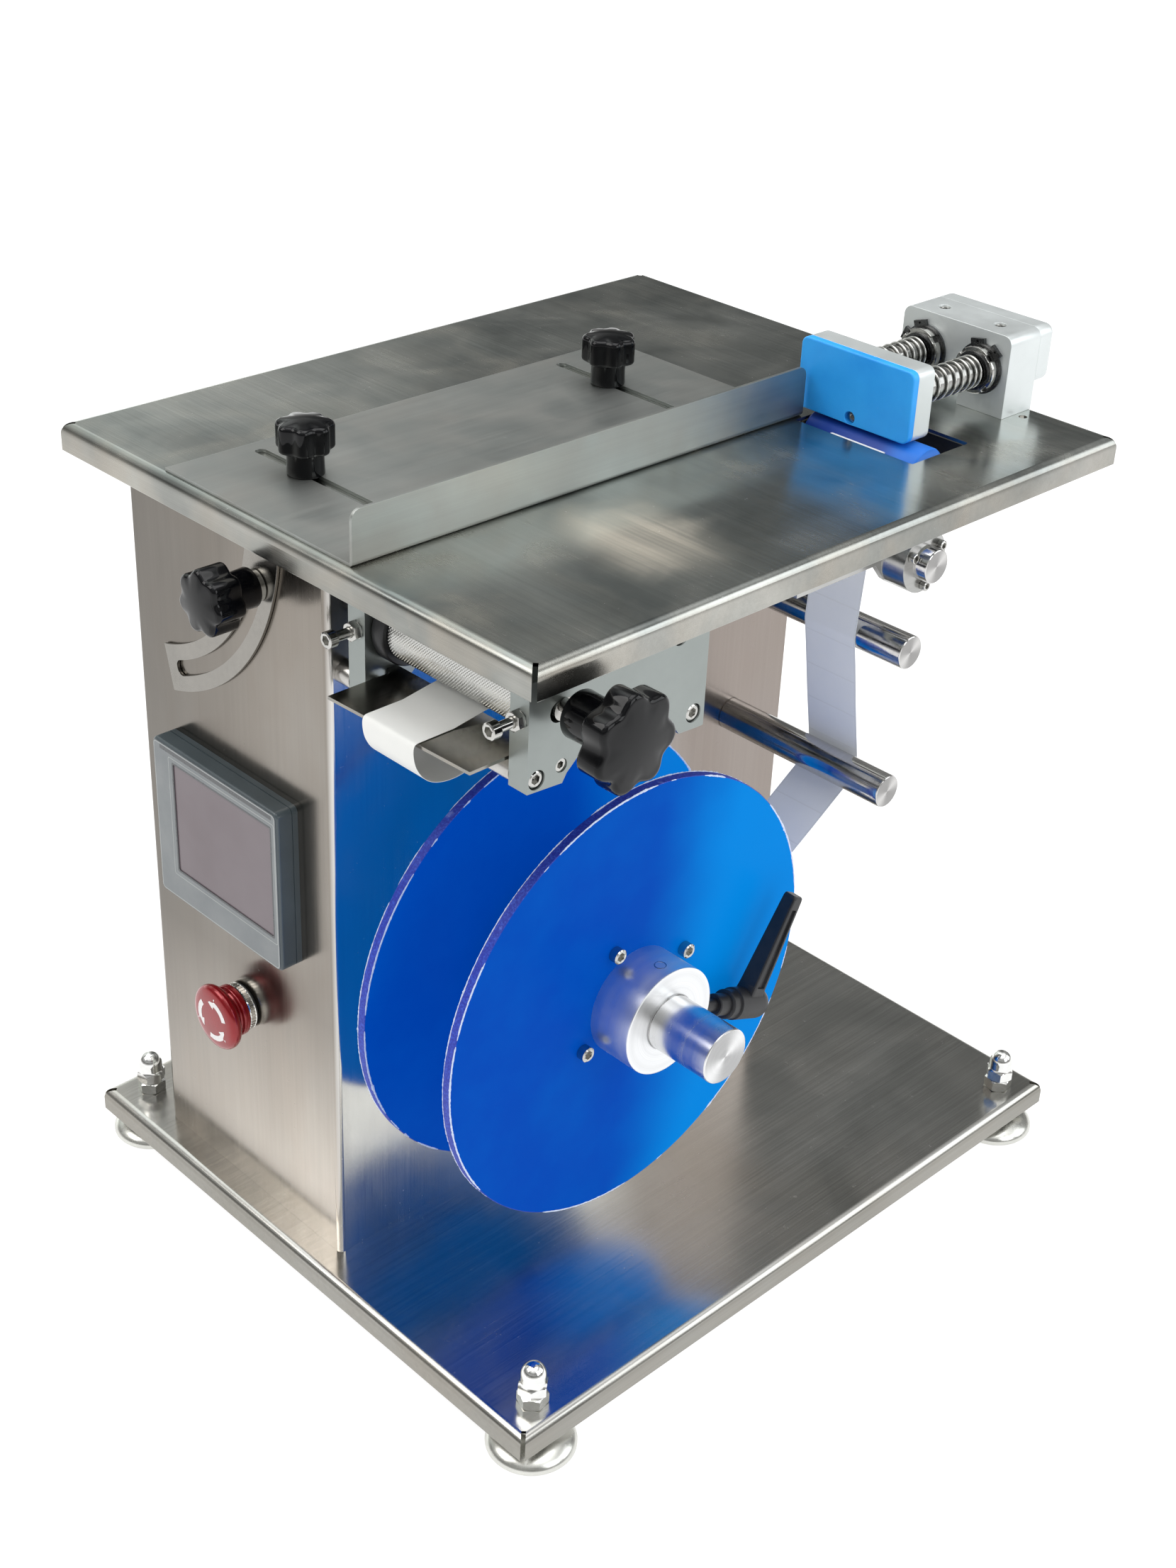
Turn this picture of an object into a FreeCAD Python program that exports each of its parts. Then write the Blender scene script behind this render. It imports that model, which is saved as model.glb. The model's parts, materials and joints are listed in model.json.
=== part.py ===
import FreeCAD, Part
import math
import os
from FreeCAD import Vector as V

os.makedirs("parts", exist_ok=True)

# ------------------------------------------------------------------
# driving dimensions, mm. Worked in the table's own frame: x = 0 and
# y = 0 at the flat's near right corner, z = 0 on the table's top.
# OFF moves all to the frame of the part (centre of the footprint, floor).
# ------------------------------------------------------------------
OFF = V(190.25, -230.3, 528.5)
T = 2.0                                   # sheet thickness
BEND = 6.2                                # outer bend radius
TAB_X = (-400.0, 0.0)                     # table flat
TAB_Y = (0.0, 472.6)
TAB_DEPTH = 17.0
OPEN_X = (-137.6, -46.4)                  # table opening
OPEN_Y = (343.3, 397.0)
BASE_X = (-406.5, 17.8)
BASE_Y = (-7.5, 490.6)
BASE_Z = -494.5
BASE_DEPTH = 16.0
FLOOR = -528.5
TOW_X = (-356.9, -171.0)
TOW_Y = (6.9, 395.0)
TOW_TOP = -9.0
TOW_R = 4.0
FOOT_X = (-391.5, 2.8)
FOOT_Y = (13.5, 469.6)
HINGE = (-354.7, -4.3)                    # tilt axis (x, z)
HINGE_R = 2.2
QUAD_R = (116.5, 145.9)
QUAD_SLOT = (126.3, 136.1)
QUAD_MID = 131.2
STUD_ANG = -17.5                          # degrees
SLOT_END = -69.4
FENCE_X = (-306.0, -139.0)
FENCE_Y = (0.0, 351.5)
FENCE_H = 32.0
FENCE_SLOT_Y = (56.5, 293.5)
FENCE_SLOT_X = (-296.0, -180.0)
FENCE_STUD_X = -251.0
PAD_X = (-147.0, -60.0)
PAD_Y = 354.0
PAD_T = 5.0
BLOCK_END = 374.0
PAD_Z = (4.2, 49.0)
SHAFT_X = (-121.5, -78.5)
SHAFT_Z = 27.7
SHAFT_R = 8.7
HOUSE_X = (-141.0, -58.0)
HOUSE_Y = (445.0, 475.0)
HOUSE_Z = 52.0
ROL_Y, ROL_Z, ROL_R = 364.0, -12.3, 15.5  # soft roller in the opening
ROL_X = (-136.5, -50.5)
RODS = ((344.0, -218.0), (350.0, -121.6), (365.7, -68.5))
ROD_R = 11.0
ROD_X = (-171.0, -35.5)
REEL = (136.0, -288.2)                    # reel axis (y, z)
DISC_R = 144.4
FRONT_DISC = (-56.0, -50.0)
BACK_DISC = (-130.7, -124.7)
HUB = (-50.0, -20.0)
HUB_R = 35.0
RSHAFT_R = 17.5
RSHAFT_END = 25.0
ROLL_R = 65.0
WEB_X = (-111.0, -70.0)
OUT_PL = (-30.5, -16.5)
IN_PL = (-159.0, -145.0)
KNURL = (39.0, -44.0)                     # knurled roller axis (y, z)
KNURL_R = 19.5
DRIVE = (79.4, -44.0)
DRIVE_R = 20.0
GUIDE_TOP = -69.0
KNOB = (35.5, -41.0)                      # head knob axis (y, z)
STAND = ((18.9, -78.6), (133.5, -80.0), (120.0, -29.5))
HMI_X = (-326.0, -202.0)
HMI_Z = (-285.0, -175.0)
ESTOP = (-264.0, -348.9)


# ------------------------------------------------------------------
# small makers
# ------------------------------------------------------------------
def box(x0, x1, y0, y1, z0, z1):
    return Part.makeBox(x1 - x0, y1 - y0, z1 - z0, V(x0, y0, z0))


def cx(x0, x1, y, z, r):
    return Part.makeCylinder(r, x1 - x0, V(x0, y, z), V(1, 0, 0))


def cy(y0, y1, x, z, r):
    return Part.makeCylinder(r, y1 - y0, V(x, y0, z), V(0, 1, 0))


def cz(z0, z1, x, y, r):
    return Part.makeCylinder(r, z1 - z0, V(x, y, z0), V(0, 0, 1))


def fuse(first, *rest):
    s = first.fuse(list(rest)) if rest else first
    return s.removeSplitter()


def cut(first, *rest):
    return first.cut(list(rest)) if rest else first


def prism(pts, vec):
    w = Part.makePolygon([V(*p) for p in pts] + [V(*pts[0])])
    return Part.Face(w).extrude(V(*vec))


def revolve(profile, base, axis):
    """profile: (axial, radius) pairs of a closed half section."""
    a = V(*axis)
    a.normalize()
    ref = V(0, 0, 1) if abs(a.z) < 0.9 else V(1, 0, 0)
    rad = ref - a * ref.dot(a)
    rad.normalize()
    b = V(*base)
    pts = [b + a * u + rad * r for u, r in profile]
    w = Part.makePolygon(pts + [pts[0]])
    return Part.Face(w).revolve(b, a, 360)


def hexprism(af, h, base, axis, spin=0.0):
    a = V(*axis)
    a.normalize()
    ref = V(0, 0, 1) if abs(a.z) < 0.9 else V(1, 0, 0)
    u = ref - a * ref.dot(a)
    u.normalize()
    w = a.cross(u)
    r = af / math.sqrt(3)
    b = V(*base)
    pts = []
    for k in range(6):
        t = math.radians(60 * k + spin)
        pts.append(b + u * (r * math.cos(t)) + w * (r * math.sin(t)))
    return Part.Face(Part.makePolygon(pts + [pts[0]])).extrude(a * h)


def cap_screw(base, axis, d, length, socket=True):
    """head seat at base, head rises along axis, shank goes the other way"""
    a = V(*axis)
    a.normalize()
    b = V(*base)
    hd = 1.6 * d if d > 3.5 else 1.9 * d
    s = Part.makeCylinder(hd / 2, d, b, a)
    s = s.fuse(Part.makeCylinder(d / 2 - 0.1, length, b - a * length, a))
    if socket:
        s = s.cut(hexprism(0.83 * d, 0.6 * d, b + a * (0.45 * d), a))
    return s


def lobed(base, axis, lobes, r, dip, h, chamfer=1.5, spin=0.0):
    """star knob head: lobed plan, closed by a smooth wavy outline"""
    a = V(*axis)
    a.normalize()
    ref = V(0, 0, 1) if abs(a.z) < 0.9 else V(1, 0, 0)
    u = ref - a * ref.dot(a)
    u.normalize()
    w = a.cross(u)
    b = V(*base)
    disc = Part.makeCylinder(r, h, b, a)
    for k in range(lobes):
        t = math.radians(360.0 * k / lobes + spin)
        rc = r - dip + dip * 1.9
        c = b + (u * math.cos(t) + w * math.sin(t)) * rc
        disc = disc.cut(Part.makeCylinder(dip * 1.9, h, c, a))
    return disc


def star_knob(base, axis, collar_r, collar_h, star_r, star_h, lobes, dip,
              bore_r, bore_h, crown=1.6, spin=0.0):
    a = V(*axis)
    a.normalize()
    b = V(*base)
    s = Part.makeCylinder(collar_r, collar_h, b, a)
    s = s.fuse(lobed(b + a * collar_h, a, lobes, star_r, dip, star_h, spin=spin))
    s = s.fuse(Part.makeCone(star_r * 0.72, star_r * 0.42, crown,
                             b + a * (collar_h + star_h), a))
    s = s.cut(Part.makeCylinder(bore_r, bore_h, b, a))
    return s.removeSplitter()


def tray(xr, yr, ztop, depth, r, t):
    o = box(xr[0] - r, xr[1] + r, yr[0] - r, yr[1] + r, ztop - depth, ztop)
    eds = [e for e in o.Edges
           if abs(e.BoundBox.ZMin - ztop) < 1e-6 and abs(e.BoundBox.ZMax - ztop) < 1e-6]
    o = o.makeFillet(r, eds)
    i = box(xr[0] - r + t, xr[1] + r - t, yr[0] - r + t, yr[1] + r - t,
            ztop - depth - 1, ztop - t)
    eds = [e for e in i.Edges
           if abs(e.BoundBox.ZMin - (ztop - t)) < 1e-6 and abs(e.BoundBox.ZMax - (ztop - t)) < 1e-6]
    i = i.makeFillet(r - t, eds)
    s = o.cut(i)
    # open mitres at the corners
    for sx, x in ((-1, xr[0]), (1, xr[1])):
        for sy, y in ((-1, yr[0]), (1, yr[1])):
            m = box(-0.5, 16, -1.4, 1.4, ztop - depth - 1, ztop + 1)
            ang = math.degrees(math.atan2(sy, sx))
            m.rotate(V(0, 0, 0), V(0, 0, 1), ang)
            m.translate(V(x, y, 0))
            s = s.cut(m)
    return s


def arc(cy_, cz_, r, a0, a1, n):
    return [(cy_ + r * math.cos(math.radians(a0 + (a1 - a0) * k / n)),
             cz_ + r * math.sin(math.radians(a0 + (a1 - a0) * k / n))) for k in range(n + 1)]


OUT = {}


def put(name, *shapes):
    s = shapes[0] if len(shapes) == 1 else Part.makeCompound(list(shapes))
    s = s.copy()
    s.translate(OFF)
    OUT[name] = s


# ------------------------------------------------------------------
# base, feet
# ------------------------------------------------------------------
base = tray(BASE_X, BASE_Y, BASE_Z, BASE_DEPTH, BEND, T)
for x in FOOT_X:
    for y in FOOT_Y:
        base = base.cut(cz(BASE_Z - 10, BASE_Z + 10, x, y, 5.4))
put("base_plate", base)

feet, nuts = [], []
for x in FOOT_X:
    for y in FOOT_Y:
        bell = revolve([(0, 0), (0, 26.5), (1.2, 28.0), (3.5, 28.0), (7.0, 25.0),
                        (10.5, 17.0), (13.0, 10.0), (18.0, 8.5), (18.0, 0)],
                       (x, y, FLOOR), (0, 0, 1))
        bell = bell.fuse(cz(FLOOR + 17, BASE_Z + 20, x, y, 4.9))
        feet.append(bell.removeSplitter())
        low = hexprism(17, 8, (x, y, BASE_Z - T - 8.0), (0, 0, 1), 12)
        low = low.cut(cz(BASE_Z - 20, BASE_Z + 5, x, y, 4.95))
        hexa = hexprism(17, 8, (x, y, BASE_Z), (0, 0, 1), 12)
        dome = hexprism(17, 8, (x, y, BASE_Z + 8.4), (0, 0, 1), 40)
        dome = dome.fuse(cz(BASE_Z + 16.4, BASE_Z + 22, x, y, 8.0))
        dome = dome.fuse(Part.makeSphere(8.0, V(x, y, BASE_Z + 22)))
        bore = cz(BASE_Z - 1, BASE_Z + 20.3, x, y, 4.95)
        nuts += [low, hexa.cut(bore), dome.removeSplitter().cut(bore)]
put("foot_pads", *feet)
put("foot_nuts", *nuts)

# ------------------------------------------------------------------
# tower
# ------------------------------------------------------------------
x0, x1 = TOW_X
y0, y1 = TOW_Y
o = box(x0, x1, y0, y1 - T, BASE_Z, TOW_TOP)
eds = [e for e in o.Edges if abs(e.BoundBox.ZLength - (TOW_TOP - BASE_Z)) < 1e-6
       and abs(e.BoundBox.YMin - y0) < 1e-6]
o = o.makeFillet(TOW_R, eds)
i = box(x0 + T, x1 - T, y0 + T, y1 - 2 * T, BASE_Z - 1, TOW_TOP + 1)
eds = [e for e in i.Edges if abs(e.BoundBox.ZLength - (TOW_TOP - BASE_Z + 2)) < 1e-6
       and abs(e.BoundBox.YMin - y0 - T) < 1e-6]
i = i.makeFillet(TOW_R - T, eds)
tower = o.cut(i)
tower = tower.cut(box(x0 + 14, x1 - 14, y1 - 3 * T, y1, BASE_Z - 1, TOW_TOP + 1))
# foot tabs inside, spot welded to the base
tower = tower.fuse(box(x0 + T, x0 + 20, y0 + 40, y1 - 40, BASE_Z, BASE_Z + T))
tower = tower.fuse(box(x1 - 20, x1 - T, y0 + 40, y1 - 40, BASE_Z, BASE_Z + T))
tower = tower.removeSplitter()
# panel cut-out, push-button hole, clamp stud hole
sx = HINGE[0] + QUAD_MID * math.cos(math.radians(STUD_ANG))
sz = HINGE[1] + QUAD_MID * math.sin(math.radians(STUD_ANG))
cuts = [box(HMI_X[0] + 7, HMI_X[1] - 7, y0 - 1, y0 + 4, HMI_Z[0] + 7, HMI_Z[1] - 7),
        cy(y0 - 1, y0 + 4, ESTOP[0], ESTOP[1], 11.3),
        cy(y0 - 1, y0 + 4, sx, sz, 4.15)]
for (ry, rz) in RODS:
    cuts.append(cx(x1 - 4, x1 + 1, ry, rz, 5.2))
cuts.append(cx(x1 - 4, x1 + 1, REEL[0], REEL[1], 21.0))
for k in range(4):
    t = math.radians(45 + 90 * k)
    cuts.append(cx(x1 - 4, x1 + 1, REEL[0] + 36 * math.cos(t), REEL[1] + 36 * math.sin(t), 2.75))
cuts.append(cx(x1 - 4, x1 + 1, DRIVE[0], DRIVE[1], 12.0))
for (yy, zz) in ((DRIVE[0] - 23.6, DRIVE[1] - 23.6), (DRIVE[0] + 23.6, DRIVE[1] - 23.6),
                 (DRIVE[0] - 23.6, DRIVE[1] + 23.6), (DRIVE[0] + 23.6, DRIVE[1] + 23.6)):
    cuts.append(cx(x1 - 4, x1 + 1, yy, zz, 2.65))

for (yy, zz) in STAND:
    cuts.append(cx(x1 - 4, x1 + 1, yy, zz, 3.1))
tower = tower.cut(cuts)
put("tower_shell", tower)

cover = box(x0 + 0.5, x1 - 0.5, y1 - T + 0.05, y1, BASE_Z + 0.5, TOW_TOP)
for k in range(7):
    zc = -150 - 14 * k
    cover = cover.cut(box(-320, -208, y1 - 4, y1 + 1, zc, zc + 5))
CUP = (-263.9, -430.0)
cover = cover.cut(box(CUP[0] - 13.7, CUP[0] + 13.7, y1 - 4, y1 + 1, CUP[1] - 10.2, CUP[1] + 10.2))
screws = []
for xx in (x0 + 8, x1 - 8):
    for zz in (-40, -250, -460):
        cover = cover.cut(cy(y1 - 4, y1 + 1, xx, zz, 2.2))
        s = Part.makeCylinder(3.8, 1.6, V(xx, y1, zz), V(0, 1, 0))
        s = s.fuse(cy(y1 - T + 0.05, y1 + 0.5, xx, zz, 2.0))
        s = s.cut(hexprism(2.5, 1.2, (xx, y1 + 0.6, zz), (0, 1, 0)))
        screws.append(s.removeSplitter())
put("tower_rear_cover", cover)

seal = box(x1 - T - 1.5, x1 + 1.2, y0 + 12, y1 - 12, TOW_TOP - 5, TOW_TOP + 6.4)
seal = seal.cut(box(x1 - T - 0.05, x1 + 0.05, y0, y1, TOW_TOP - 12, TOW_TOP + 0.05))
put("tower_edge_seal", seal)

# tilt hinge: knuckles below the sheet, pin through all
leafs_f, leafs_m = [], []
hx, hz = HINGE
hy = [20 + k * 72 for k in range(6)]
for k in range(5):
    a, b = hy[k] + 0.25, hy[k + 1] - 0.25
    kn = cy(a, b, hx, hz, HINGE_R)
    if k % 2 == 0:
        leafs_f.append(kn.fuse(box(hx - 0.2 , hx + 1.3, a, b, -34, hz - 0.2)))
    else:
        leafs_m.append(kn.fuse(box(hx, hx + 22, a, b, -2.0 - 1.5, -2.0)).cut(cy(a - 1, b + 1, hx, hz, 1.25)))
fl = leafs_f[0].fuse(leafs_f[1:] + [box(hx - 0.2, hx + 1.3, hy[0] + 0.25, hy[5] - 0.25, -34, -10.0),
                                    cy(hy[0] - 2, hy[5] + 2, hx, hz, 1.2)])
put("hinge_fixed_leaf", fl.removeSplitter())
ml = leafs_m[0].fuse(leafs_m[1:] + [box(hx + 4.5, hx + 22, hy[0] + 0.25, hy[5] - 0.25, -3.5, -2.0)])
put("hinge_moving_leaf", ml.removeSplitter())

# clamp stud with washer for the tilt
ts = cy(-13.0, 30.0, sx, sz, 3.9)
ts = ts.fuse(cy(0.35, 4.3, sx, sz, 9.5))
ts = ts.fuse(hexprism(13, 6.5, (sx, y0 + T, sz), (0, 1, 0)))
put("tilt_stud", ts.removeSplitter())

# ------------------------------------------------------------------
# operator panel and stop button
# ------------------------------------------------------------------
bez = box(HMI_X[0], HMI_X[1], -8.0, y0, HMI_Z[0], HMI_Z[1])
eds = [e for e in bez.Edges if abs(e.BoundBox.YLength - (y0 + 8.0)) < 1e-6]
bez = bez.makeFillet(4.0, eds)
bez = bez.fuse(box(HMI_X[0] + 8, HMI_X[1] - 8, y0 - 0.5, 42.0, HMI_Z[0] + 8, HMI_Z[1] - 8))
bez = bez.removeSplitter()
bez = bez.cut(box(-308.5, -205.4, -8.5, -7.0, -265.2, -184.2))
put("hmi_bezel", bez)
film = box(HMI_X[0] + 1.5, HMI_X[1] - 1.5, -8.6, -8.05, HMI_Z[0] + 1.5, HMI_Z[1] - 1.5)
film = film.cut(box(-305.0, -208.5, -9, -7, -262.0, -186.5))
put("hmi_film", film)
put("hmi_screen", box(-307.9, -206.0, -7.8, -7.0, -264.6, -184.8))

ex, ez = ESTOP
eb = cy(5.2, y0, ex, ez, 14.9)
eb = eb.fuse(cy(-0.1, 5.3, ex, ez, 15.8))
for k in range(36):
    t = math.radians(10 * k)
    eb = eb.cut(cy(0.3, 4.9, ex + 16.1 * math.cos(t), ez + 16.1 * math.sin(t), 0.75))
eb = eb.fuse(cy(y0 - 1, y0 + T, ex, ez, 11.0))
eb = eb.fuse(cy(y0 + T, y0 + T + 6, ex, ez, 15.0))
eb = eb.fuse(box(ex - 15, ex + 15, y0 + T + 5, 58, ez - 20, ez + 20))
eb = eb.cut(cy(-9, 17.0, ex, ez, 9.0)).cut(cy(16, 36, ex, ez, 5.35))
put("estop_body", eb.removeSplitter())
# red neck: a cup that runs down over the chrome ring when it is pressed
est = cy(-5.1, -0.7, ex, ez, 17.0).cut(cy(-4.3, 1.0, ex, ez, 16.1))
est = est.fuse([cy(-8.9, -5.0, ex, ez, 14.5), cy(-5.0, 11.5, ex, ez, 8.6),
                cy(11.0, 28.0, ex, ez, 5.0), cy(-14.0, -8.0, ex, ez, 5.0)])
put("estop_stem", est.removeSplitter())
eh = revolve([(0, 5.1), (0, 19.0), (0.6, 20.3), (1.8, 21.4), (3.4, 22.0), (5.6, 22.0), (7.2, 21.4),
              (8.5, 20.2), (9.2, 18.6), (9.5, 16.5), (9.5, 0), (5.2, 0), (5.2, 5.1)], (ex, -9.1, ez), (0, -1, 0))
put("estop_head", eh)

# ------------------------------------------------------------------
# table, tilt quadrant
# ------------------------------------------------------------------
table = tray(TAB_X, TAB_Y, 0.0, TAB_DEPTH, BEND, T)
table = table.cut(box(OPEN_X[0], OPEN_X[1], OPEN_Y[0], OPEN_Y[1], -5, 5))
table = table.cut(cz(-5, 5, -52.5, 460, 2.75))
for yy in FENCE_SLOT_Y:
    table = table.fuse(cz(-1.0, 12.0, FENCE_STUD_X, yy, 2.9))
    table = table.fuse(cz(-3.2, -1.0, FENCE_STUD_X, yy, 6.0))
put("table_top", table)


def ring_sector(r0, r1, a0, a1, ya, yb, c):
    o = cy(ya, yb, c[0], c[1], r1).cut(cy(ya - 1, yb + 1, c[0], c[1], r0))
    big = r1 + 20
    pts = [(c[0], ya - 1, c[1])]
    n = 12
    for k in range(n + 1):
        t = math.radians(a0 + (a1 - a0) * k / n)
        pts.append((c[0] + big * 1.3 * math.cos(t), ya - 1, c[1] + big * 1.3 * math.sin(t)))
    return o.common(prism(pts, (0, yb - ya + 2, 0)))


QY = (4.6, 6.6)
quad = ring_sector(QUAD_R[0], QUAD_R[1], -75.5, 1.5, QY[0], QY[1], HINGE)
quad = quad.common(box(-400, 0, 0, 10, -200, -2.0))
slot = ring_sector(QUAD_SLOT[0], QUAD_SLOT[1], SLOT_END, STUD_ANG + 1.5, 3, 8, HINGE)
for a in (SLOT_END, STUD_ANG + 1.5):
    slot = slot.fuse(cy(3, 8, HINGE[0] + QUAD_MID * math.cos(math.radians(a)),
                        HINGE[1] + QUAD_MID * math.sin(math.radians(a)), 4.9))
quad = quad.cut(slot)
# weld tab to the underside of the table
quad = quad.fuse(box(HINGE[0] + QUAD_R[0] + 1, HINGE[0] + QUAD_R[1] - 1, 2.6, 4.7, -8.0, -2.0))
put("quadrant_plate", quad.removeSplitter())

# ------------------------------------------------------------------
# fence and its knobs
# ------------------------------------------------------------------
FZ = 0.05
fx0, fx1 = FENCE_X
fen = box(fx0, fx1, FENCE_Y[0], FENCE_Y[1], FZ, FENCE_H)
eds = [e for e in fen.Edges if abs(e.BoundBox.YLength - FENCE_Y[1]) < 1e-6
       and abs(e.BoundBox.ZMin - FZ) < 1e-6 and abs(e.BoundBox.XMax - fx1) < 1e-6]
fen = fen.makeFillet(3.0, eds)
fin = box(fx0 - 1, fx1 - T, FENCE_Y[0] - 1, FENCE_Y[1] + 1, FZ + T, FENCE_H + 1)
eds = [e for e in fin.Edges if abs(e.BoundBox.YLength - FENCE_Y[1] - 2) < 1e-6
       and abs(e.BoundBox.ZMax - FZ - T) < 1e-6 and abs(e.BoundBox.XMin - fx1 + T) < 1e-6]
fin = fin.makeFillet(1.0, eds)
fen = fen.cut(fin)
eds = [e for e in fen.Edges if abs(e.BoundBox.XLength - T) < 1e-6
       and abs(e.BoundBox.ZMin - FENCE_H) < 1e-6 and e.BoundBox.YLength < 1e-6]
fen = fen.makeFillet(6.0, eds)
for yy in FENCE_SLOT_Y:
    s = box(FENCE_SLOT_X[0] + 3.5, FENCE_SLOT_X[1] - 3.5, yy - 3.5, yy + 3.5, -1, 4)
    s = s.fuse([cz(-1, 4, FENCE_SLOT_X[0] + 3.5, yy, 3.5), cz(-1, 4, FENCE_SLOT_X[1] - 3.5, yy, 3.5)])
    fen = fen.cut(s)
put("fence", fen)
for nm, yy, sp in (("fence_knob_front", FENCE_SLOT_Y[0], 10), ("fence_knob_rear", FENCE_SLOT_Y[1], 22)):
    k = star_knob((FENCE_STUD_X, yy, FZ + T + 0.05), (0, 0, 1), 11.0, 13.9, 17.0, 17.0, 7, 2.2,
                  2.95, 12.0, 1.8, sp)
    put(nm, k)

# tilt knob
k = star_knob((sx, 0.0, sz), (0, -1, 0), 11.8, 15.0, 19.5, 20.0, 7, 2.4, 3.95, 13.5, 2.0, 5)
put("tilt_knob", k)

# ------------------------------------------------------------------
# press unit
# ------------------------------------------------------------------
ho = box(HOUSE_X[0], HOUSE_X[1], HOUSE_Y[0], HOUSE_Y[1], 0, HOUSE_Z)
eds = [e for e in ho.Edges if abs(e.BoundBox.YLength - 30) < 1e-6 and abs(e.BoundBox.ZMin - HOUSE_Z) < 1e-6]
ho = ho.makeFillet(6.0, eds)
ho = ho.cut(box(-113, -93, 400, 500, -1, 8))
for x in SHAFT_X:
    ho = ho.cut(cy(440, 480, x, SHAFT_Z, SHAFT_R + 0.05))
    ho = ho.cut(cz(36, 60, x, 460, 4.05))
put("press_housing", ho)
cap = box(HOUSE_X[0], HOUSE_X[1], HOUSE_Y[1], 490, 16, HOUSE_Z)
eds = [e for e in cap.Edges if abs(e.BoundBox.YLength - 15) < 1e-6]
cap = cap.makeFillet(6.0, eds)
eds = [e for e in cap.Edges if e.BoundBox.YLength < 1e-6 and abs(e.BoundBox.YMin - 490) < 1e-6]
cap = cap.makeFillet(4.0, eds)
for x in SHAFT_X:
    cap = cap.cut(cy(470, 487.5, x, SHAFT_Z, SHAFT_R + 1.4))
put("press_rear_cap", cap)
lw, ln = [], []
for x in SHAFT_X:
    w = cy(443.6, 445.0, x, SHAFT_Z, 16.0)
    for a, hw in (((107, 4.6), (157, 4.2)) if x < -100 else ((100.5, 5.0), (51, 4.3))):
        tb = box(15.2, 18.6, 442.6, 445.0, -hw, hw).cut(cy(440, 446, 17.0, 0.0, 0.7))
        tb.rotate(V(0, 0, 0), V(0, 1, 0), -a)
        tb.translate(V(x, 0, SHAFT_Z))
        w = w.fuse(tb)
    w = w.common(box(HOUSE_X[0] + 0.5, -100.2, 440, 446, 5, 50) if x < -100 else box(-99.8, HOUSE_X[1] - 0.5, 440, 446, 5, 50))
    w = w.cut(cy(440, 446, x, SHAFT_Z, SHAFT_R + 0.6))
    lw.append(w.removeSplitter())
    # seal ring ahead of the nut
    sr = cy(436.2, 437.6, x, SHAFT_Z, 12.0).cut(cy(436, 438, x, SHAFT_Z, SHAFT_R + 0.6))
    lw.append(sr)
    n = cy(437.6, 443.6, x, SHAFT_Z, 14.6).cut(cy(437, 444, x, SHAFT_Z, SHAFT_R + 0.6))
    for a in (45, 135, 225, 315):
        sl = box(12.9, 16, 437, 444, -2.2, 2.2)
        sl.rotate(V(0, 0, 0), V(0, 1, 0), -a)
        sl.translate(V(x, 0, SHAFT_Z))
        n = n.cut(sl)
    ln.append(n)
    ss = cz(38.0, 51.2, x, 460, 4.0).cut(hexprism(4.0, 4.0, (x, 460, 47.6), (0, 0, 1)))
    ln.append(ss)
put("press_lock_washers", *lw)
put("press_lock_nuts", *ln)


def round_plate(y0_, y1_, r):
    p = box(PAD_X[0], PAD_X[1], y0_, y1_, PAD_Z[0], PAD_Z[1])
    e_ = [e for e in p.Edges if abs(e.BoundBox.YLength - (y1_ - y0_)) < 1e-6]
    return p.makeFillet(r, e_)


pad = round_plate(PAD_Y, PAD_Y + PAD_T, 5.0)
SC = (-104.7, 8.6)
pad = pad.cut(cy(350, 360, SC[0], SC[1], 3.8))
put("press_pad", pad)
blk = round_plate(PAD_Y + PAD_T, BLOCK_END, 5.0)
for x in SHAFT_X:
    blk = blk.cut(cy(365, 376, x, SHAFT_Z, SHAFT_R))
blk = blk.cut(cy(355, 370, SC[0], SC[1], 2.1))
put("press_block", blk)
sh = [cy(365, 470, x, SHAFT_Z, SHAFT_R) for x in SHAFT_X]
psc = cy(357.0, 359.0, SC[0], SC[1], 3.4).fuse(cy(358.5, 369, SC[0], SC[1], 2.0))
psc = psc.cut(hexprism(2.5, 1.4, (SC[0], 356.9, SC[1]), (0, 1, 0)))
put("press_shafts", sh[0], sh[1], psc.removeSplitter())
sp = []
for x in SHAFT_X:
    o = None
    ya, yb = BLOCK_END + 0.15, 436.0
    n = 12
    w = 1.5
    for k in range(n):
        f = k / (n - 1.0)
        yy = ya + (yb - ya - w) * (1 - (1 - f) ** 1.25)
        rg = cy(yy, yy + w, x, SHAFT_Z, 10.45).cut(cy(yy - 1, yy + w + 1, x, SHAFT_Z, 8.95))
        o = rg if o is None else o.fuse(rg)
    for a in (0, 120, 240):
        t = math.radians(a + 30)
        o = o.fuse(cy(ya, yb, x + 9.7 * math.cos(t), SHAFT_Z + 9.7 * math.sin(t), 0.6))
    sp.append(o.removeSplitter())
put("press_springs", *sp)

# ------------------------------------------------------------------
# guide rods, roller bracket, soft roller
# ------------------------------------------------------------------
rods = []
for (yy, zz) in RODS:
    r = revolve([(0, 0), (0, ROD_R), (134.3, ROD_R), (135.5, ROD_R - 1.2), (135.5, 0)],
                (ROD_X[0], yy, zz), (1, 0, 0))
    r = r.fuse(cx(ROD_X[0] - 14, ROD_X[0] + 1, yy, zz, 5.0))
    r = r.fuse(hexprism(17, 7, (ROD_X[0] - T - 7.0, yy, zz), (1, 0, 0)))
    rods.append(r.removeSplitter())
put("guide_rods", *rods)

uy, uz = RODS[2]
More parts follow.
